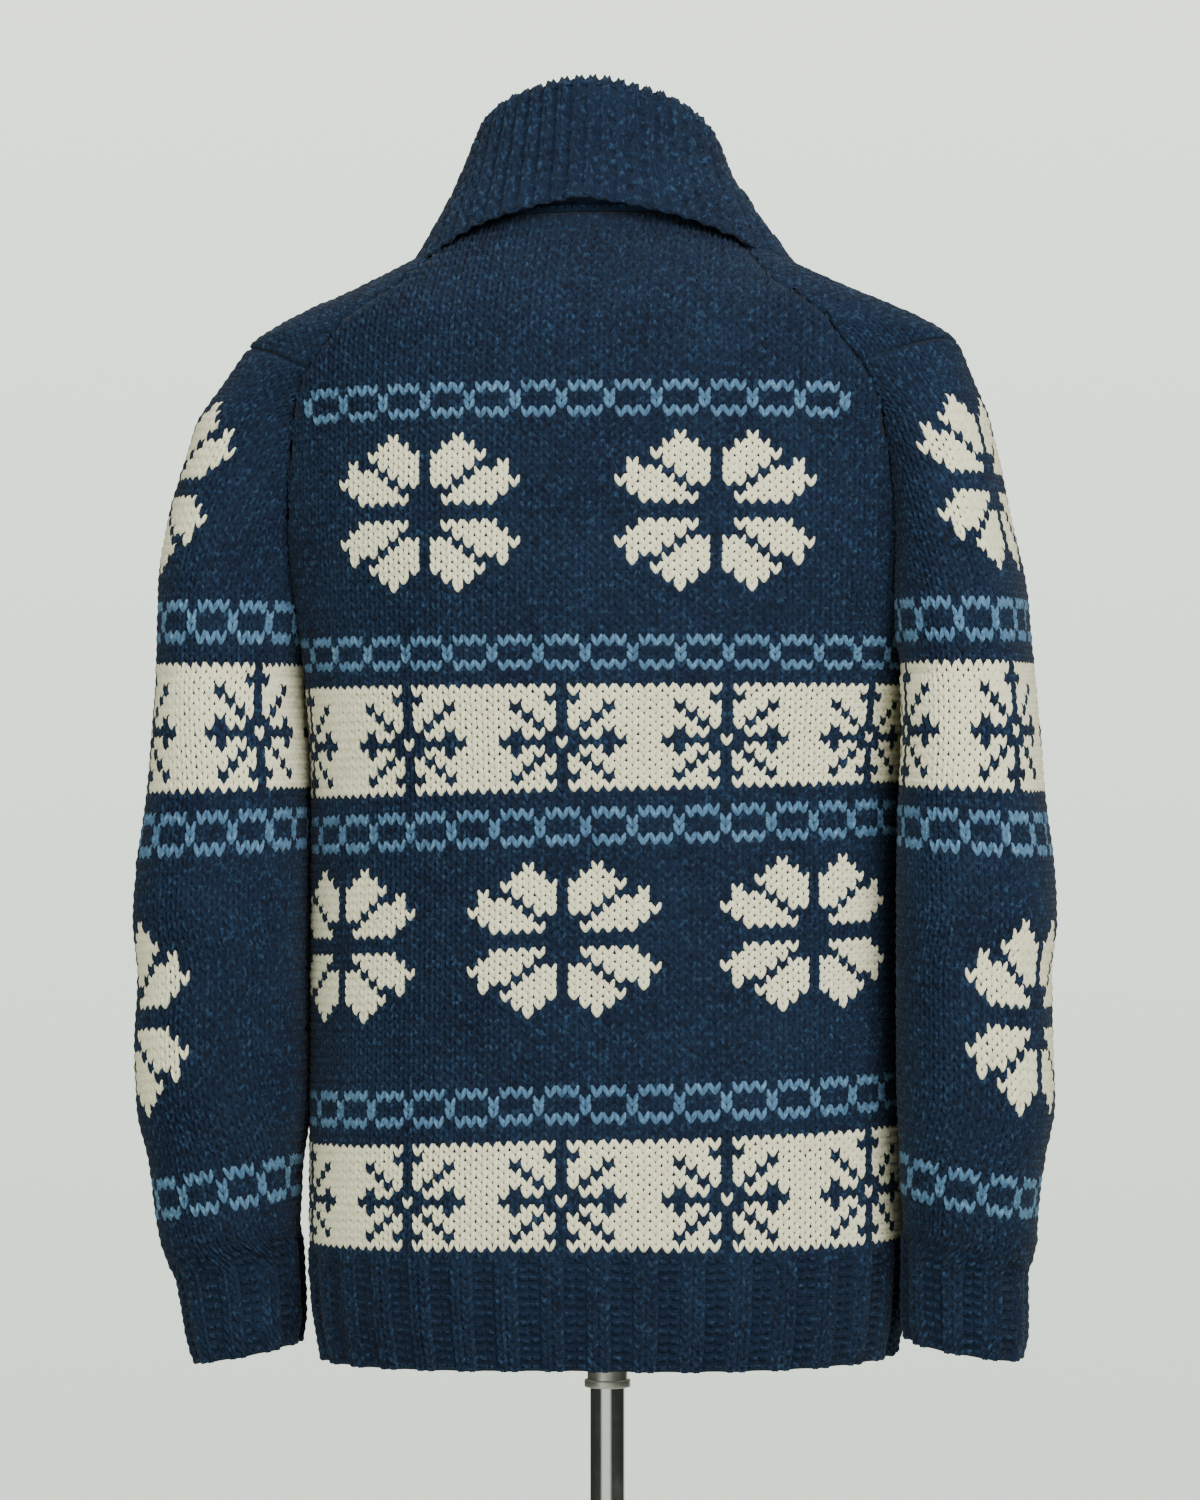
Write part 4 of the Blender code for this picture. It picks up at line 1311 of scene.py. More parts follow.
    def _clear(self, points: Array, clearance: float) -> Array:
        """Moves points of the flap out where they are too near the body.

        Args:
            points: the points.
            clearance: how far out of the body's cloth they have to be.

        Returns:
            The points; those above the neck stay where they are.
        """
        side = np.where(points[:, :1] < 0, MIRRORED, 1.0)
        apart = (points * side)[:, None, :] - self.body[None]
        square = np.sum(apart * apart, axis=2)
        weights = np.exp((square.min(axis=1, keepdims=True) - square) / self.near_by ** 2)
        weights = weights / weights.sum(axis=1, keepdims=True)
        normals = unit(weights @ self.body_normals)
        height = np.sum(weights * np.sum(apart * self.body_normals[None], axis=2), axis=1)
        below = 1 - smooth((points[:, 2] - HEM_Z - NECK_H) / 0.02)
        return points + normals * side * (np.clip(clearance - height, 0, None) * below)[:, None]

    def _seam(self, materials: dict[Yarn, bpy.types.Material]) -> list[bpy.types.Object]:
        """Builds the ridge of stitches where the collar is sewn round the back of the neck.

        Args:
            materials: the yarns' materials.

        Returns:
            The pieces of the ridge.
        """
        first = self.seam_from / self.line.length * COLLAR_RIBS
        last = COLLAR_RIBS - first
        step = 1.0 / self.fine
        columns = np.arange(first, last + step, step)
        stand = self.inner[np.clip((columns * self.fine).astype(int), 0, len(self.inner) - 1)]
        up = unit(stand[:, -2] - stand[:, -1])
        heights = ROW * step * np.arange(-1, 3 * self.fine)
        points = stand[None, :, -1] + up[None] * heights[:, None, None]
        lattice = Lattice(columns[0], -step, step, points, self._rough_normals(points))
        lattice.lean_normals()
        out = np.array([0.0, 1.0, 0.0]) @ lattice.normals[1, len(columns) // 2]
        lattice.normals = lattice.normals * (1.0 if out > 0 else -1.0)
        sheet = StitchSheet(lattice, straight_edge(columns[0]), straight_edge(columns[-1]), self.seed + 1)
        places = np.arange(math.ceil(first) + 0.5, last - 0.5, 0.5)
        sheet.add(places, np.full(len(places), 0.1), np.zeros(len(places)), LegShape(rise=0.0024), 0.5, True)
        return sheet.build(f"{self.name}_seam", materials, False, self.slot)

    def _raise_ribs(self) -> None:
        """Raises the ribs in the lattice."""
        rise = self.rib_rise * (0.5 - 0.5 * np.cos(2 * math.pi * self.lattice.columns))
        self.lattice.points = self.lattice.points + self.lattice.normals * rise[None, :, None]

    def end(self, column: Array) -> Array:
        """The row of the flap's edge at a column."""
        return np.interp(column, self.lattice.columns, self.ends)

    def build(self, materials: dict[Yarn, bpy.types.Material], wall: bpy.types.Material) -> None:
        """Builds the collar's wall and ribs.

        Args:
            materials: the yarns' materials.
            wall: the wall's material.
        """
        sheet = StitchSheet(self.lattice, straight_edge(0.0), straight_edge(COLLAR_RIBS), self.seed)
        purl = LegShape(rise=0.0010)
        for rib in range(COLLAR_RIBS):
            last = int(self.end(rib + 0.5) - 0.2)
            rows = np.arange(1, last)
            sheet.add(np.full(len(rows), rib + 0.5), rows, np.zeros(len(rows)), self.stitch_leg)
            if rib:
                sheet.add(np.full(len(rows), float(rib)), rows, np.zeros(len(rows)), purl, 0.42, True)
        stitches = sheet.build(self.name, materials, False, self.slot) + self._seam(materials)
        columns = np.arange(0.0, COLLAR_RIBS + 0.01, 0.5)
        shares = np.linspace(0.0, 1.0, 46)
        tall = self.end(columns)[:, None] * shares[None, :]
        across = np.broadcast_to(columns[:, None], tall.shape)
        face = self.lattice.at(across, tall, -self.under)
        inner = self.inner[(columns * self.fine).astype(int)]
        ring = np.concatenate([face, inner], axis=1)
        count = ring.shape[1]
        points = ring.reshape(-1, 3)
        faces = []
        for k in range(len(columns) - 1):
            for i in range(count):
                j = (i + 1) % count
                faces.append((k * count + i, k * count + j, (k + 1) * count + j, (k + 1) * count + i))
        faces.append(tuple(range(count))[::-1])
        faces.append(tuple((len(columns) - 1) * count + i for i in range(count)))
        self.declare(mesh_object(self.name, points, faces, [wall], closed=True), "folded", stitches)


@dataclass
class ButtonBand(Cloth):
    """A ribbed button band, over or under the other."""

    start: float = -BAND_HALF
    end: float = BAND_HALF
    layer: float = 0.0       # how far it lies out over the other band
    step_from: float = 0.0   # the x where it starts to come down beside that band
    ribs: int = 4

    def __post_init__(self) -> None:
        """Lays the band's lattice up the centre front."""
        top = UNDERARM_H - 0.0005
        self.last_row = top / ROW
        heights = np.minimum(half_steps(0.0, self.last_row) * ROW, top)
        columns = np.arange(0.0, self.ribs + 0.01, 0.125)
        x = self.start + (self.end - self.start) * columns / self.ribs
        lift = self.layer * (1 - smooth((x - self.step_from) / (self.end - self.step_from)))
        half_width, roundness = TORSO.read(1, heights)[:, None], TORSO.read(5, heights)[:, None]
        turned = np.arcsin((np.abs(x)[None, :] / half_width) ** (roundness / 2))
        angle = math.pi - np.sign(x)[None, :] * turned
        tall = np.broadcast_to(heights[:, None], angle.shape)
        normals = body_normal(angle, tall)
        ribbed = BAND_RIB * (0.5 - 0.5 * np.cos(2 * math.pi * columns))
        self.floor = body_point(angle, tall) + normals * (lift[None, :, None] - WALL)
        points = body_point(angle, tall) + normals * (lift + ribbed)[None, :, None]
        self.lattice = Lattice(0.0, 0.0, STEP, points[:, ::4], normals[:, ::4])
        self.face = points

    def build(self, materials: dict[Yarn, bpy.types.Material], wall: bpy.types.Material) -> None:
        """Builds the band's wall and ribs.

        Args:
            materials: the yarns' materials.
            wall: the wall's material.
        """
        sheet = StitchSheet(self.lattice, straight_edge(0.0), straight_edge(self.ribs), self.seed)
        stations = (0.18, 0.11, 0.8), (0.52, 0.15, 1.0), (0.86, 0.12, 0.72)
        leg = LegShape((0.03, -0.42), (0.24, 0.92), stations, 0.0012)
        rows = np.arange(0, int(self.last_row) - 1)
        for rib in range(self.ribs):
            sheet.add(np.full(len(rows), rib + 0.5), rows + 0.4, np.zeros(len(rows)), leg)
            if rib:
                sheet.add(np.full(len(rows), float(rib)), rows + 0.4, np.zeros(len(rows)),
                          LegShape(rise=0.0008), 0.5, True)
        stitches = sheet.build(self.name, materials, False, self.slot)
        self.shell(self.face[::4], self.floor[::4], wall, stitches)


def lathe(name: str, profile: Sequence[tuple[float, float]], segments: int, material: bpy.types.Material,
          node: str | None = None) -> bpy.types.Object:
    """Turns a profile round the Z axis.

    Args:
        name: the piece's name.
        profile: radius and height, bottom first; a radius of 0 closes it on the axis.
        segments: how many sides a ring has.
        material: its material.
        node: the CAD node that it replaces.

    Returns:
        The piece.
    """
    turns = 2 * math.pi * np.arange(segments) / segments
    points, rings = [], []
    for radius, height in profile:
        if radius < 1e-9:
            rings.append([len(points)] * segments)
            points.append((0.0, 0.0, height))
            continue
        rings.append(list(range(len(points), len(points) + segments)))
        points += [(radius * math.cos(t), radius * math.sin(t), height) for t in turns]
    pairs = list(zip(rings, rings[1:]))
    if profile[0][0] > 1e-9:
        pairs.append((rings[-1], rings[0]))
    faces = []
    for low, high in pairs:
        for i in range(segments):
            j = (i + 1) % segments
            faces.append(tuple(dict.fromkeys((low[i], low[j], high[j], high[i]))))
    piece = mesh_object(name, np.array(points), faces, [material], closed=True)
    piece.data.set_sharp_from_angle(angle=math.radians(38))
    if node:
        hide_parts(node)
    return piece


def rounded(profile: Sequence[tuple[float, float]], radius: float,
            steps: int = 4) -> list[tuple[float, float]]:
    """Rounds the corners of a profile.

    Args:
        profile: radius and height of each corner.
        radius: how far along each side a corner's arc starts.
        steps: points in each arc.

    Returns:
        The rounded profile.
    """
    made = [profile[0]]
    for before, corner, after in zip(profile, profile[1:], profile[2:]):
        b, c, a = (np.array(p) for p in (before, corner, after))
        near = min(radius, np.linalg.norm(b - c) * 0.45, np.linalg.norm(a - c) * 0.45)
        start, end = c + unit(b - c) * near, c + unit(a - c) * near
        for k in range(steps + 1):
            t = k / steps
            made.append(tuple(start * (1 - t) ** 2 + c * 2 * t * (1 - t) + end * t * t))
    return made + [profile[-1]]


@dataclass
class Button:
    """A dished horn button with four holes, sewn on with a cross of yarn."""

    number: int
    radius: float = BUTTON_R
    thick: float = BUTTON_THICK
    hole_r: float = 0.00115
    hole_off: float = 0.0021
    thread_r: float = 0.00055

    def build(self, horn: bpy.types.Material, thread: bpy.types.Material) -> None:
        """Builds the button and its thread.

        Args:
            horn: the button's material.
            thread: the thread's material.
        """
        r, t = self.radius, self.thick
        profile = [(0.0, 0.0), (r * 0.72, 0.0), (r, t * 0.35), (r, t * 0.75), (r * 0.93, t),
                   (r * 0.70, t * 0.95), (r * 0.62, t * 0.62), (0.0, t * 0.62)]
        disc = lathe(f"button_{self.number}", rounded(profile, r * 0.08), 48, horn,
                     f"button_{self.number}")
        cutters = []
        for i in range(4):
            turn = math.pi / 4 + i * math.pi / 2
            place = (self.hole_off * math.cos(turn), self.hole_off * math.sin(turn))
            bpy.ops.mesh.primitive_cylinder_add(vertices=20, radius=self.hole_r, depth=4 * t,
                                                location=(*place, 0.0))
            cutters.append(bpy.context.object)
        for cutter in cutters:
            cut = disc.modifiers.new("hole", "BOOLEAN")
            cut.operation, cut.solver, cut.object = "DIFFERENCE", "EXACT", cutter
            bpy.context.view_layer.objects.active = disc
            bpy.ops.object.modifier_apply(modifier=cut.name)
        for cutter in cutters:
            bpy.data.objects.remove(cutter)
        points, faces = self._thread()
        cross = mesh_object(f"button_{self.number}_thread", points, faces, [thread])
        height = BUTTON_HEIGHTS[self.number - 1]
        front = np.array([math.pi])
        normal = body_normal(front, np.array([height]))[0]
        rest = body_point(front, np.array([height]))[0] + normal * (BAND_LAYER + BAND_RIB + GAP)
        tilt = math.pi / 2 - math.asin(normal[2])
        c, s = math.cos(tilt), math.sin(tilt)
        for piece in (disc, cross):
            x, y, z = np.array([v.co for v in piece.data.vertices]).T
            turned = np.stack([x, y * c - z * s, y * s + z * c], axis=1)
            piece.data.vertices.foreach_set("co", (turned + rest).ravel())
            piece.data.update()

    def _thread(self) -> tuple[Array, list[tuple[int, ...]]]:
        """The cross of yarn, as two arched strands between opposite holes.

        Returns:
            Its points and faces.
        """
        points, faces, sides, steps = [], [], 8, 12
        for k, turn in enumerate((math.pi / 4, 3 * math.pi / 4)):
            along = np.array([math.cos(turn), math.sin(turn), 0.0])
            beside = np.array([-math.sin(turn), math.cos(turn), 0.0])
            first = len(points)
            for i in range(steps + 1):
                t = -1 + 2 * i / steps
                rise = self.thick * 0.62 + (0.0009 + 0.0004 * k) * (1 - t**6) - 0.0022 * t**6
                middle = along * t * self.hole_off + np.array([0, 0, rise])
                for j in range(sides):
                    a = 2 * math.pi * j / sides
                    out = math.cos(a) * beside + math.sin(a) * np.array([0, 0, 1])
                    points.append(middle + self.thread_r * out)
            for i in range(steps):
                for j in range(sides):
                    a, b = first + i * sides + j, first + i * sides + (j + 1) % sides
                    faces.append((a, b, b + sides, a + sides))
            faces.append(tuple(first + j for j in range(sides))[::-1])
            faces.append(tuple(first + steps * sides + j for j in range(sides)))
        return np.array(points), faces


@dataclass
class DressForm:
    """The jersey-covered form inside the garment."""

    around: int = 96
    seams: tuple[float, ...] = (0.0, 38.0, 90.0, 142.0, 180.0, 218.0, 270.0, 322.0)
    seam_depth: float = 0.0007
    seam_width: float = 0.9
    inner_rings: tuple[float, ...] = (0.30, 0.60, 0.85, 0.97)
    # Share of the way in to the neck, height, share of the neck's radius
    stump: tuple[tuple[float, float, float], ...] = (
        (0.30, 0.6665, 1.0), (0.55, 0.668, 1.0), (0.75, 0.6715, 1.0), (0.88, 0.676, 1.0), (0.96, 0.682, 1.0),
        (1.0, 0.690, 1.0), (1.0, 0.706, 1.0), (1.0, 0.7095, 0.97), (1.0, 0.712, 0.9), (1.0, 0.7142, 0.72),
        (1.0, 0.715, 0.5), (1.0, 0.7158, 0.25),
    )
    top: float = 0.716

    def build(self, cover: bpy.types.Material) -> None:
        """Builds the covered form.

        Args:
            cover: the jersey cover's material.
        """
        heights = np.concatenate([np.linspace(FORM_BOTTOM, 0.560, 46), np.linspace(0.566, NECK_H, 26)])
        angles = 2 * math.pi * np.arange(self.around) / self.around
        turned = np.degrees(np.minimum(angles, 2 * math.pi - angles))
        rings = []
        for height in heights:
            touch = smooth((height - 0.575) / 0.040) * smooth((130 - turned) / 20)
            slack = FORM_SLACK + (CLOTH_LIFT - FORM_SLACK) * touch + self._seam(np.degrees(angles))
            tall = np.full(self.around, height)
            rings.append(body_point(angles, tall) - body_normal(angles, tall) * (WALL + slack)[:, None])
        top = rings[-1]
        for share, level, wide in self.stump:
            radius = NECK_R * wide
            stump = np.stack([radius * np.sin(angles), NECK_Y + radius * np.cos(angles),
                              np.full(self.around, HEM_Z + level)], axis=1)
            rings.append(top + (stump - top) * share)
        bottom = rings[0]
        under = [bottom * np.array([k, k, 1.0]) for k in self.inner_rings]
        grid = np.array([*under, *rings])
        rows = len(grid)
        middles = [[0, 0, HEM_Z + FORM_BOTTOM], [0, NECK_Y, HEM_Z + self.top]]
        points = np.concatenate([grid.reshape(-1, 3), middles])
        faces = []
        for r in range(rows - 1):
            for i in range(self.around):
                j = (i + 1) % self.around
                a, b = r * self.around, (r + 1) * self.around
                faces.append((a + i, b + i, b + j, a + j))
        last = (rows - 1) * self.around
        for i in range(self.around):
            j = (i + 1) % self.around
            faces.append((len(points) - 2, i, j))
            faces.append((last + j, last + i, len(points) - 1))
        form = mesh_object("form_cover", points, faces, [cover], closed=True)
        form.data.set_sharp_from_angle(angle=math.radians(50))
        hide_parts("form")

    def _seam(self, degrees: Array) -> Array:
        """The depth of the cover's seams: centre back, centre front, the sides and the four shaping seams.

        Args:
            degrees: places round the form, from the centre back.

        Returns:
            The depths there.
        """
        depth = np.zeros_like(degrees)
        for seam in self.seams:
            away = np.abs((degrees - seam + 180.0) % 360.0 - 180.0)
            depth = depth + self.seam_depth * np.exp(-(away / self.seam_width) ** 2)
        return depth


@dataclass
class Stand:
    """The clamp under the form, the chrome pole and the round base."""

    def build(self, steel: bpy.types.Material, chrome: bpy.types.Material) -> None:
        """Builds the stand.

        Args:
            steel: the clamp's and base's material.
            chrome: the pole's material.
        """
        bore = POLE_R + GAP
        foot = HEM_Z + CLAMP_FOOT
        flange_top = foot + 0.0042
        top = HEM_Z + FORM_BOTTOM - GAP
        clamp = [(bore, foot), (FLANGE_R, foot), (FLANGE_R, flange_top), (CLAMP_R, flange_top),
                 (CLAMP_R, top), (bore, top)]
        lathe("clamp_steel", rounded(clamp, 0.0005), 72, steel, "clamp")
        floor = SOCKET_FLOOR + GAP
        pole = (0.0, floor), (POLE_R, floor), (POLE_R, top), (0.0, top)
        lathe("pole_chrome", pole, 72, chrome, "pole")
        base = [(0.0, 0.0), (BASE_R - 0.001, 0.0), (BASE_R, 0.001), (BASE_R, 0.005), (BASE_R - 0.004, 0.0075),
                (0.024, 0.014), (SOCKET_R, 0.020), (SOCKET_R, SOCKET_TOP - 0.001),
                (SOCKET_R - 0.001, SOCKET_TOP), (bore, SOCKET_TOP), (bore, SOCKET_FLOOR), (0.0, SOCKET_FLOOR)]
        lathe("base_steel", rounded(base, 0.003), 128, steel, "base")


class NodeMaker:
    """Adds linked nodes to a tree."""

    def __init__(self, tree: bpy.types.NodeTree) -> None:
        """Keeps the tree."""
        self.tree = tree

    def node(self, kind: str, settings: dict[str, object] | None = None,
             **links: object) -> bpy.types.Node:
        """Adds a node.

        Args:
            kind: the node's type.
            settings: attributes of the node.
            links: for each input, a socket to link or a value to set; an underscore stands for a space.

        Returns:
            The node.
        """
        made = self.tree.nodes.new(kind)
        for label, value in (settings or {}).items():
            setattr(made, label, value)
        for label, value in links.items():
            place = int(label[1:]) if label[0] == "i" and label[1:].isdigit() else label.replace("_", " ")
            if isinstance(value, bpy.types.NodeSocket):
                self.tree.links.new(value, made.inputs[place])
            else:
                made.inputs[place].default_value = value
        return made

    def noise(self, vector: bpy.types.NodeSocket, scale: object, detail: float = 2.0,
              rough: float = 0.5) -> bpy.types.NodeSocket:
        """Adds a noise texture.

        Args:
            vector: its coordinates.
            scale: its scale, a value or a socket.
            detail: its detail.
            rough: its roughness.

        Returns:
            Its value.
        """
        made = self.node("ShaderNodeTexNoise", Vector=vector, Scale=scale, Detail=detail, Roughness=rough)
        return made.outputs[0]

    def math(self, operation: str, a: object, b: object = 0.0) -> bpy.types.NodeSocket:
        """Adds a math node and gives its value."""
        return self.node("ShaderNodeMath", {"operation": operation}, i0=a, i1=b).outputs[0]

    def ramp(self, value: bpy.types.NodeSocket, low: float, high: float, to_low: float = 0.0,
             to_high: float = 1.0) -> bpy.types.NodeSocket:
        """Maps a range of values onto another, with the ends held."""
        return self.node("ShaderNodeMapRange", i0=value, i1=low, i2=high, i3=to_low, i4=to_high).outputs[0]

    def mix(self, share: object, a: object, b: object) -> bpy.types.NodeSocket:
        """Mixes two colours and gives the result."""
        return self.node("ShaderNodeMix", {"data_type": "RGBA"}, i0=share, i6=a, i7=b).outputs[2]


class GroupMaker(NodeMaker):
    """Builds one shader node group with named sockets."""

    def __init__(self, name: str, inputs: dict[str, tuple[str, object]], outputs: dict[str, str]) -> None:
        """Starts the group.

        Args:
            name: the group's name.
            inputs: each input's kind of socket and starting value.
            outputs: each output's kind of socket.
        """
        super().__init__(bpy.data.node_groups.new(name, "ShaderNodeTree"))
        for label, (kind, value) in inputs.items():
            socket = self.tree.interface.new_socket(label, in_out="INPUT", socket_type=kind)
            socket.default_value = value
        for label, kind in outputs.items():
            self.tree.interface.new_socket(label, in_out="OUTPUT", socket_type=kind)
        self.inputs = self.tree.nodes.new("NodeGroupInput").outputs
        self.outputs = self.tree.nodes.new("NodeGroupOutput").inputs

    def put(self, label: str, value: bpy.types.NodeSocket) -> None:
        """Links a socket to one of the group's outputs."""
        self.tree.links.new(value, self.outputs[label])


SURFACE_OUTPUTS = {"Color": "NodeSocketColor", "Roughness": "NodeSocketFloat", "Height": "NodeSocketFloat"}


def wool_group() -> bpy.types.NodeTree:
    """Builds the heathered wool: colour, roughness and the height of its fibres and plies.

    Returns:
        The node group.
    """
    group = GroupMaker("heathered_wool", {
        "Yarn": ("NodeSocketColor", (0.5, 0.5, 0.5, 1)),
        "Light Fibre": ("NodeSocketColor", (0.6, 0.6, 0.6, 1)),
        "Dark Fibre": ("NodeSocketColor", (0.2, 0.2, 0.2, 1)), "Heather": ("NodeSocketFloat", 0.5),
        "Ply": ("NodeSocketFloat", 1.0)}, SURFACE_OUTPUTS)
    place = group.node("ShaderNodeTexCoord").outputs["Object"]
    flat = group.node("ShaderNodeUVMap", {"uv_map": "yarn"}).outputs[0]
    fibre = group.noise(place, 620.0, 3.0, 0.6)
    fleck = group.ramp(group.noise(place, 330.0, 2.0, 0.6), 0.52, 0.70)
    shade = group.ramp(group.noise(place, 240.0, 2.0, 0.5), 0.50, 0.68)
    patch = group.ramp(group.noise(place, 26.0, 2.0, 0.5), 0.3, 0.7)
    light = group.math("MULTIPLY", fleck, group.inputs["Heather"])
    dark = group.math("MULTIPLY", shade, group.inputs["Heather"])
    tone = group.mix(light, group.inputs["Yarn"], group.inputs["Light Fibre"])
    tone = group.mix(dark, tone, group.inputs["Dark Fibre"])
    deep = group.math("MULTIPLY", group.ramp(fibre, 0.35, 0.65), 0.28)
    tone = group.mix(deep, tone, group.inputs["Dark Fibre"])
    tone = group.mix(group.math("MULTIPLY", patch, 0.10), tone, group.inputs["Light Fibre"])
    group.put("Color", tone)
    group.put("Roughness", group.ramp(fibre, 0.3, 0.7, 0.82, 0.95))
    split = group.node("ShaderNodeSeparateXYZ", Vector=flat)
    turns = group.math("ADD", group.math("MULTIPLY", split.outputs[1], 3.0),
                       group.math("MULTIPLY", split.outputs[0], 1.2))
    plies = group.math("SINE", group.math("MULTIPLY", turns, 2 * math.pi))
    ply = group.math("MULTIPLY", group.math("MULTIPLY", plies, group.inputs["Ply"]), 0.5)
    group.put("Height", group.math("ADD", ply, group.math("MULTIPLY", fibre, 1.6)))
    return group.tree


def metal_group() -> bpy.types.NodeTree:
    """Builds the wear of metal: a brushed or polished roughness with handling marks, and its height.

    Returns:
        The node group.
    """
    group = GroupMaker("worn_metal", {
        "Shine": ("NodeSocketFloat", 0.2), "Marks": ("NodeSocketFloat", 0.1),
        "Tone": ("NodeSocketColor", (0.6, 0.6, 0.6, 1)), "Dull": ("NodeSocketColor", (0.3, 0.3, 0.3, 1))},
        SURFACE_OUTPUTS)
    place = group.node("ShaderNodeTexCoord").outputs["Object"]
    drawn = group.node("ShaderNodeMapping", Vector=place, Scale=(1.0, 1.0, 60.0)).outputs[0]
    lines = group.noise(drawn, 14.0, 3.0, 0.6)
    smudge = group.ramp(group.noise(place, 34.0, 3.0, 0.55), 0.45, 0.75)
    rough = group.math("ADD", group.inputs["Shine"], group.math("MULTIPLY", smudge, group.inputs["Marks"]))
    drawn_marks = group.math("MULTIPLY", group.inputs["Marks"], 0.5)
    rough = group.math("ADD", rough, group.math("MULTIPLY", lines, drawn_marks))
    group.put("Roughness", rough)
    worn = group.math("MULTIPLY", smudge, 0.35)
    group.put("Color", group.mix(worn, group.inputs["Tone"], group.inputs["Dull"]))
    group.put("Height", lines)
    return group.tree


def jersey_group() -> bpy.types.NodeTree:
    """Builds the fine machine-knit cover of the form.

    Returns:
        The node group.
    """
    group = GroupMaker("jersey_cover", {
        "Cover": ("NodeSocketColor", (0.6, 0.6, 0.6, 1)), "Shade And Soil": ("NodeSocketColor", (0.4, 0.4, 0.4, 1))},
        {"Color": "NodeSocketColor", "Height": "NodeSocketFloat"})
    place = group.node("ShaderNodeTexCoord").outputs["Object"]
    wale = group.node("ShaderNodeTexWave", {"wave_type": "BANDS", "bands_direction": "X"}, Vector=place,
                      Scale=420.0, Distortion=1.5, Detail=1.0, Detail_Scale=3.0).outputs["Fac"]
    course = group.node("ShaderNodeTexWave", {"wave_type": "BANDS", "bands_direction": "Z"}, Vector=place,
                        Scale=300.0, Distortion=1.0).outputs["Fac"]
    knit = group.math("MULTIPLY", wale, course)
    soil = group.ramp(group.noise(place, 12.0, 3.0), 0.35, 0.75)
    # Painted shade: the colour goes towards the darker colour where the knit's height is low, in its grooves;
    # the soil noise adds real soil marks, and a fixed share of the darker colour sets the cover's tone
    share = group.math("ADD", group.math("MULTIPLY", knit, -0.35), group.math("MULTIPLY", soil, 0.25))
    shade_and_soil = group.math("ADD", share, 0.35)
    group.put("Color", group.mix(shade_and_soil, group.inputs["Cover"], group.inputs["Shade And Soil"]))
    group.put("Height", knit)
    return group.tree


def horn_group() -> bpy.types.NodeTree:
    """Builds the clouded streaks of horn.

    Returns:
        The node group.
    """
    group = GroupMaker("clouded_horn", {
        "Dark": ("NodeSocketColor", (0.03, 0.02, 0.015, 1)),
        "Light": ("NodeSocketColor", (0.2, 0.13, 0.07, 1))},
        SURFACE_OUTPUTS)
    place = group.node("ShaderNodeTexCoord").outputs["Object"]
    drawn = group.node("ShaderNodeMapping", Vector=place, Rotation=(0.0, 0.6, 0.0),
                       Scale=(1.0, 1.0, 5.0)).outputs[0]
    streak = group.noise(drawn, 90.0, 4.0, 0.6)
    group.put("Color", group.mix(group.ramp(streak, 0.42, 0.72), group.inputs["Dark"], group.inputs["Light"]))
    group.put("Roughness", group.ramp(streak, 0.3, 0.7, 0.24, 0.42))
    group.put("Height", streak)
    return group.tree


Colour = tuple[float, float, float]


@dataclass(frozen=True)
class Finish:
    """A material made from one node group and a Principled BSDF."""

    name: str
    group: str
    colours: tuple[tuple[str, Colour], ...] = ()
    values: tuple[tuple[str, float], ...] = ()
    constants: tuple[tuple[str, object], ...] = ()
    bump: float = 0.4
    bump_depth: float = 0.0004

    def build(self) -> bpy.types.Material:
        """Builds the material.

        Returns:
            The material.
        """
        material = bpy.data.materials.new(self.name)
        material.use_nodes = True
        tree = material.node_tree
        shader = tree.nodes["Principled BSDF"]
        effect = tree.nodes.new("ShaderNodeGroup")
        effect.node_tree = bpy.data.node_groups[self.group]
        for label, colour in self.colours:
            effect.inputs[label].default_value = (*colour, 1.0)
        for label, value in self.values:
            effect.inputs[label].default_value = value
        for label, place in (("Color", "Base Color"), ("Roughness", "Roughness")):
            if label in effect.outputs:
                tree.links.new(effect.outputs[label], shader.inputs[place])
        bump = tree.nodes.new("ShaderNodeBump")
        bump.inputs["Strength"].default_value = self.bump
        bump.inputs["Distance"].default_value = self.bump_depth
        tree.links.new(effect.outputs["Height"], bump.inputs["Height"])
        tree.links.new(bump.outputs["Normal"], shader.inputs["Normal"])
        for label, value in self.constants:
            shader.inputs[label].default_value = value
        return material


SOFT = (("Sheen Weight", 0.05), ("Sheen Roughness", 0.55), ("Specular IOR Level", 0.15))
NAVY_YARN = Finish("navy_yarn", "heathered_wool", (
    ("Yarn", (0.0042, 0.0112, 0.0315)), ("Light Fibre", (0.0240, 0.0640, 0.1300)),
    ("Dark Fibre", (0.0018, 0.0036, 0.0095))), (("Heather", 0.80), ("Ply", 0.8)), SOFT)
SKY_YARN = Finish("sky_yarn", "heathered_wool", (
    ("Yarn", (0.0720, 0.1620, 0.2750)), ("Light Fibre", (0.2300, 0.3800, 0.5000)),
    ("Dark Fibre", (0.0200, 0.0520, 0.1050))), (("Heather", 0.65), ("Ply", 0.8)), SOFT)
CREAM_YARN = Finish("cream_yarn", "heathered_wool", (
    ("Yarn", (0.8100, 0.7800, 0.5500)), ("Light Fibre", (0.9000, 0.8800, 0.6900)),
    ("Dark Fibre", (0.5600, 0.4900, 0.3400))), (("Heather", 0.40), ("Ply", 0.8)), SOFT)
# The walls' yarn: the real navy cloth behind the stitches, painted darker than the navy yarn as painted shade
# between the stitches
WALL_YARN_PAINTED_SHADE = Finish("wall_yarn_painted_shade", "heathered_wool", (
    ("Yarn", (0.0045, 0.0120, 0.0320)), ("Light Fibre", (0.0150, 0.0400, 0.0850)),
    ("Dark Fibre", (0.0020, 0.0045, 0.0110))), (("Heather", 0.40), ("Ply", 0.0)), SOFT)
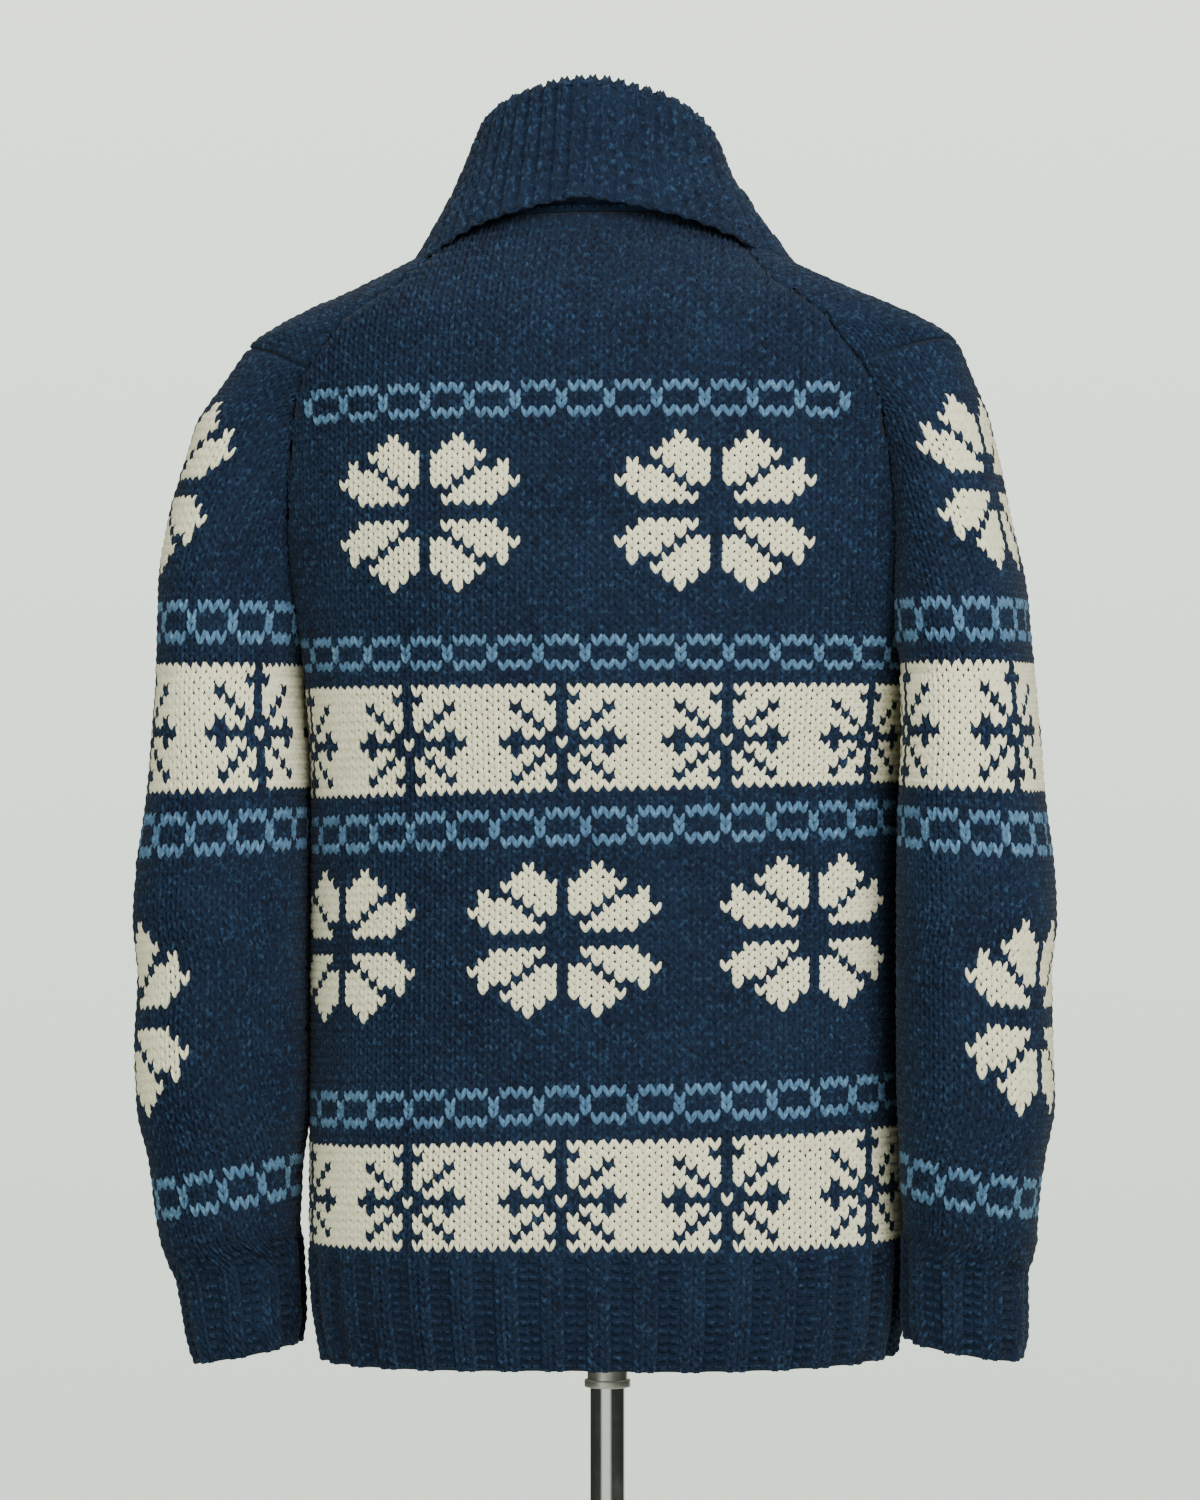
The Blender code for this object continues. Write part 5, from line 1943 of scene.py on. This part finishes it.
# The cover's darker colour carries painted shade in the knit's grooves, as well as its soil marks and part of
# its tone
COVER = Finish("form_jersey", "jersey_cover", (
    ("Cover", (0.66, 0.63, 0.58)), ("Shade And Soil", (0.50, 0.47, 0.42))), (),
    (("Roughness", 0.85), ("Sheen Weight", 0.15)), 0.35, 0.0003)
HORN = Finish("dark_horn", "clouded_horn", (), (), (("Coat Weight", 0.25),), 0.08, 0.0001)
CHROME = Finish("chrome", "worn_metal", (("Tone", (0.78, 0.78, 0.78)), ("Dull", (0.62, 0.62, 0.62))),
                (("Shine", 0.07), ("Marks", 0.08)), (("Metallic", 1.0),), 0.02, 0.0001)
STEEL = Finish("brushed_steel", "worn_metal", (("Tone", (0.44, 0.42, 0.39)), ("Dull", (0.30, 0.28, 0.26))),
               (("Shine", 0.28), ("Marks", 0.18)), (("Metallic", 1.0),), 0.15, 0.0002)


@dataclass
class Studio:
    """The pale floor, the soft light and the camera."""

    target: Vector = field(default_factory=lambda: Vector((0.0, 0.0, HEM_Z + 0.3545)))
    distance: float = 3.0
    azimuth: float = 190.0
    metres_per_pixel: float = 0.000594
    picture: tuple[int, int] = (1200, 1500)
    middle_x: float = 607.5
    floor_radius: float = 2.9
    backdrop: Colour = (0.595, 0.650, 0.570)
    backdrop_seen: float = 2.15    # the backdrop's strength low down, where the camera sees it
    # Name, azimuth, elevation, distance, size and watts
    lights: tuple[tuple[str, float, float, float, float, float], ...] = (
        ("key", 214.0, 26.0, 2.9, 1.6, 88.0), ("fill", 160.0, 12.0, 3.2, 2.4, 38.0),
        ("top", 190.0, 82.0, 2.2, 1.8, 10.0), ("front", 10.0, 30.0, 3.0, 2.2, 40.0),
    )

    def build(self) -> None:
        """Builds the floor, lights, world and camera."""
        self._floor()
        self._world()
        for light in self.lights:
            self._light(*light)
        self._camera()

    def _floor(self) -> None:
        """Builds the floor."""
        sides = 96
        turns = 2 * math.pi * np.arange(sides) / sides
        ring = np.stack([np.cos(turns), np.sin(turns), np.zeros(sides)], axis=1) * self.floor_radius
        mesh = bpy.data.meshes.new("floor")
        mesh.from_pydata(ring.tolist(), [], [tuple(range(sides))])
        material = bpy.data.materials.new("floor_paint")
        material.use_nodes = True
        shader = material.node_tree.nodes["Principled BSDF"]
        shader.inputs["Base Color"].default_value = (*self.backdrop, 1.0)
        shader.inputs["Roughness"].default_value = 0.85
        mesh.materials.append(material)
        floor = bpy.data.objects.new("floor", mesh)
        bpy.context.scene.collection.objects.link(floor)

    def _world(self) -> None:
        """Builds the pale surroundings."""
        world = bpy.data.worlds.new("studio")
        world.use_nodes = True
        make = NodeMaker(world.node_tree)
        colour = (*self.backdrop, 1.0)
        around = make.tree.nodes["Background"]
        around.inputs["Color"].default_value = colour
        path = make.node("ShaderNodeLightPath")
        split = make.node("ShaderNodeSeparateXYZ", i0=make.node("ShaderNodeTexCoord").outputs["Generated"])
        # Painted light: the backdrop that the camera sees is painted brighter towards the top of the picture,
        # as a painted light gradient
        painted_backdrop_light = make.ramp(split.outputs[2], -0.15, 0.15, self.backdrop_seen, self.backdrop_seen * 1.45)
        stripes = make.ramp(make.math("ABSOLUTE", split.outputs[0]), 0.35, 0.62, 1.5, 0.05)
        shader = around.outputs[0]
        for rays, strength in (("Is Glossy Ray", stripes), ("Is Camera Ray", painted_backdrop_light)):
            other = make.node("ShaderNodeBackground", Color=colour, Strength=strength).outputs[0]
            shader = make.node("ShaderNodeMixShader", i0=path.outputs[rays], i1=shader, i2=other).outputs[0]
        make.tree.links.new(shader, make.tree.nodes["World Output"].inputs["Surface"])
        bpy.context.scene.world = world

    def _light(self, name: str, azimuth: float, elevation: float, away: float, size: float,
               power: float) -> None:
        """Builds one soft light aimed at the garment.

        Args:
            name: the light's name.
            azimuth: its direction round the garment, in degrees.
            elevation: its direction up, in degrees.
            away: its distance.
            size: its width.
            power: its watts.
        """
        light = bpy.data.lights.new(name, "AREA")
        light.shape, light.size, light.energy = "DISK", size, power
        lamp = bpy.data.objects.new(name, light)
        a, e = math.radians(azimuth), math.radians(elevation)
        back = Vector((math.sin(a) * math.cos(e), -math.cos(a) * math.cos(e), math.sin(e)))
        lamp.location = self.target + back * away
        lamp.rotation_euler = back.to_track_quat("Z", "Y").to_euler()
        bpy.context.scene.collection.objects.link(lamp)

    def _camera(self) -> None:
        """Builds the camera at the photograph's angle."""
        data = bpy.data.cameras.new("camera")
        data.sensor_fit = "VERTICAL"
        data.angle = 2 * math.atan(self.picture[1] * self.metres_per_pixel / 2 / self.distance)
        data.shift_x = (self.picture[0] / 2 - self.middle_x) / self.picture[1]
        data.clip_end = 50.0
        camera = bpy.data.objects.new("camera", data)
        a = math.radians(self.azimuth)
        back = Vector((math.sin(a), -math.cos(a), 0.0))
        camera.location = self.target + back * self.distance
        camera.rotation_euler = back.to_track_quat("Z", "Y").to_euler()
        bpy.context.scene.collection.objects.link(camera)
        bpy.context.scene.camera = camera


def main() -> None:
    """Loads the frame and dresses the whole part."""
    logging.basicConfig(level=logging.INFO, format="%(name)s: %(message)s")
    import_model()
    for make in (wool_group, metal_group, jersey_group, horn_group):
        make()
    yarns = {Yarn.NAVY: NAVY_YARN.build(), Yarn.SKY: SKY_YARN.build(), Yarn.CREAM: CREAM_YARN.build()}
    # The walls under the stitches carry painted shade: their darker navy stands for the shadow between the
    # stitches
    wall = WALL_YARN_PAINTED_SHADE.build()
    front = {"is_back": False, "ribs": FRONT_RIBS}
    rib = {"slot": "navy_rib"}
    cloths = (
        BodyPanel("back_wall", "back", (0.56, 0.67), 0.29, seed=11, shift=0.7),
        BodyPanel("front_left_wall", "front_left", (0.28, 0.67), 0.119, seed=12, **front),
        BodyPanel("front_right_wall", "front_right", (0.28, 0.67), 0.119, mirror=True, seed=13, **front),
        Strap("shoulder_left_wall", "shoulder_left", (0.20, 0.15), 0.0205, seed=21),
        Strap("shoulder_right_wall", "shoulder_right", (0.20, 0.15), 0.0205, mirror=True, seed=22),
        SleeveCloth("sleeve_left_wall", "sleeve_left", (0.37, 0.60), 0.18, seed=31, nearer=0.0048,
                    bands=sleeve_bands(-5.0, -7.0)),
        SleeveCloth("sleeve_right_wall", "sleeve_right", (0.37, 0.585), 0.17, mirror=True, seed=32,
                    length=RIGHT_ARM_REACH, bands=sleeve_bands(-5.0, -8.0)),
        CollarCloth("collar_wall", "collar", (0.98, 0.15), 0.143, seed=41, **rib),
        ButtonBand("band_right_wall", "band_right", (0.030, 0.40), 0.0119, seed=51, start=-BAND_HALF + GAP,
                   end=BAND_HALF - 0.0075, step_from=BAND_HALF - 0.008, **rib),
        ButtonBand("band_left_wall", "band_left", (0.041, 0.40), 0.016, seed=52, start=-BAND_HALF,
                   end=BAND_HALF - GAP, step_from=BAND_HALF - 0.0062, layer=BAND_LAYER, **rib),
    )
    for cloth in cloths:
        cloth.build(yarns, wall)
    horn = HORN.build()
    for number in range(1, len(BUTTON_HEIGHTS) + 1):
        Button(number).build(horn, yarns[Yarn.NAVY])
    DressForm().build(COVER.build())
    Stand().build(STEEL.build(), CHROME.build())
    Studio().build()


if __name__ == "__main__":
    main()
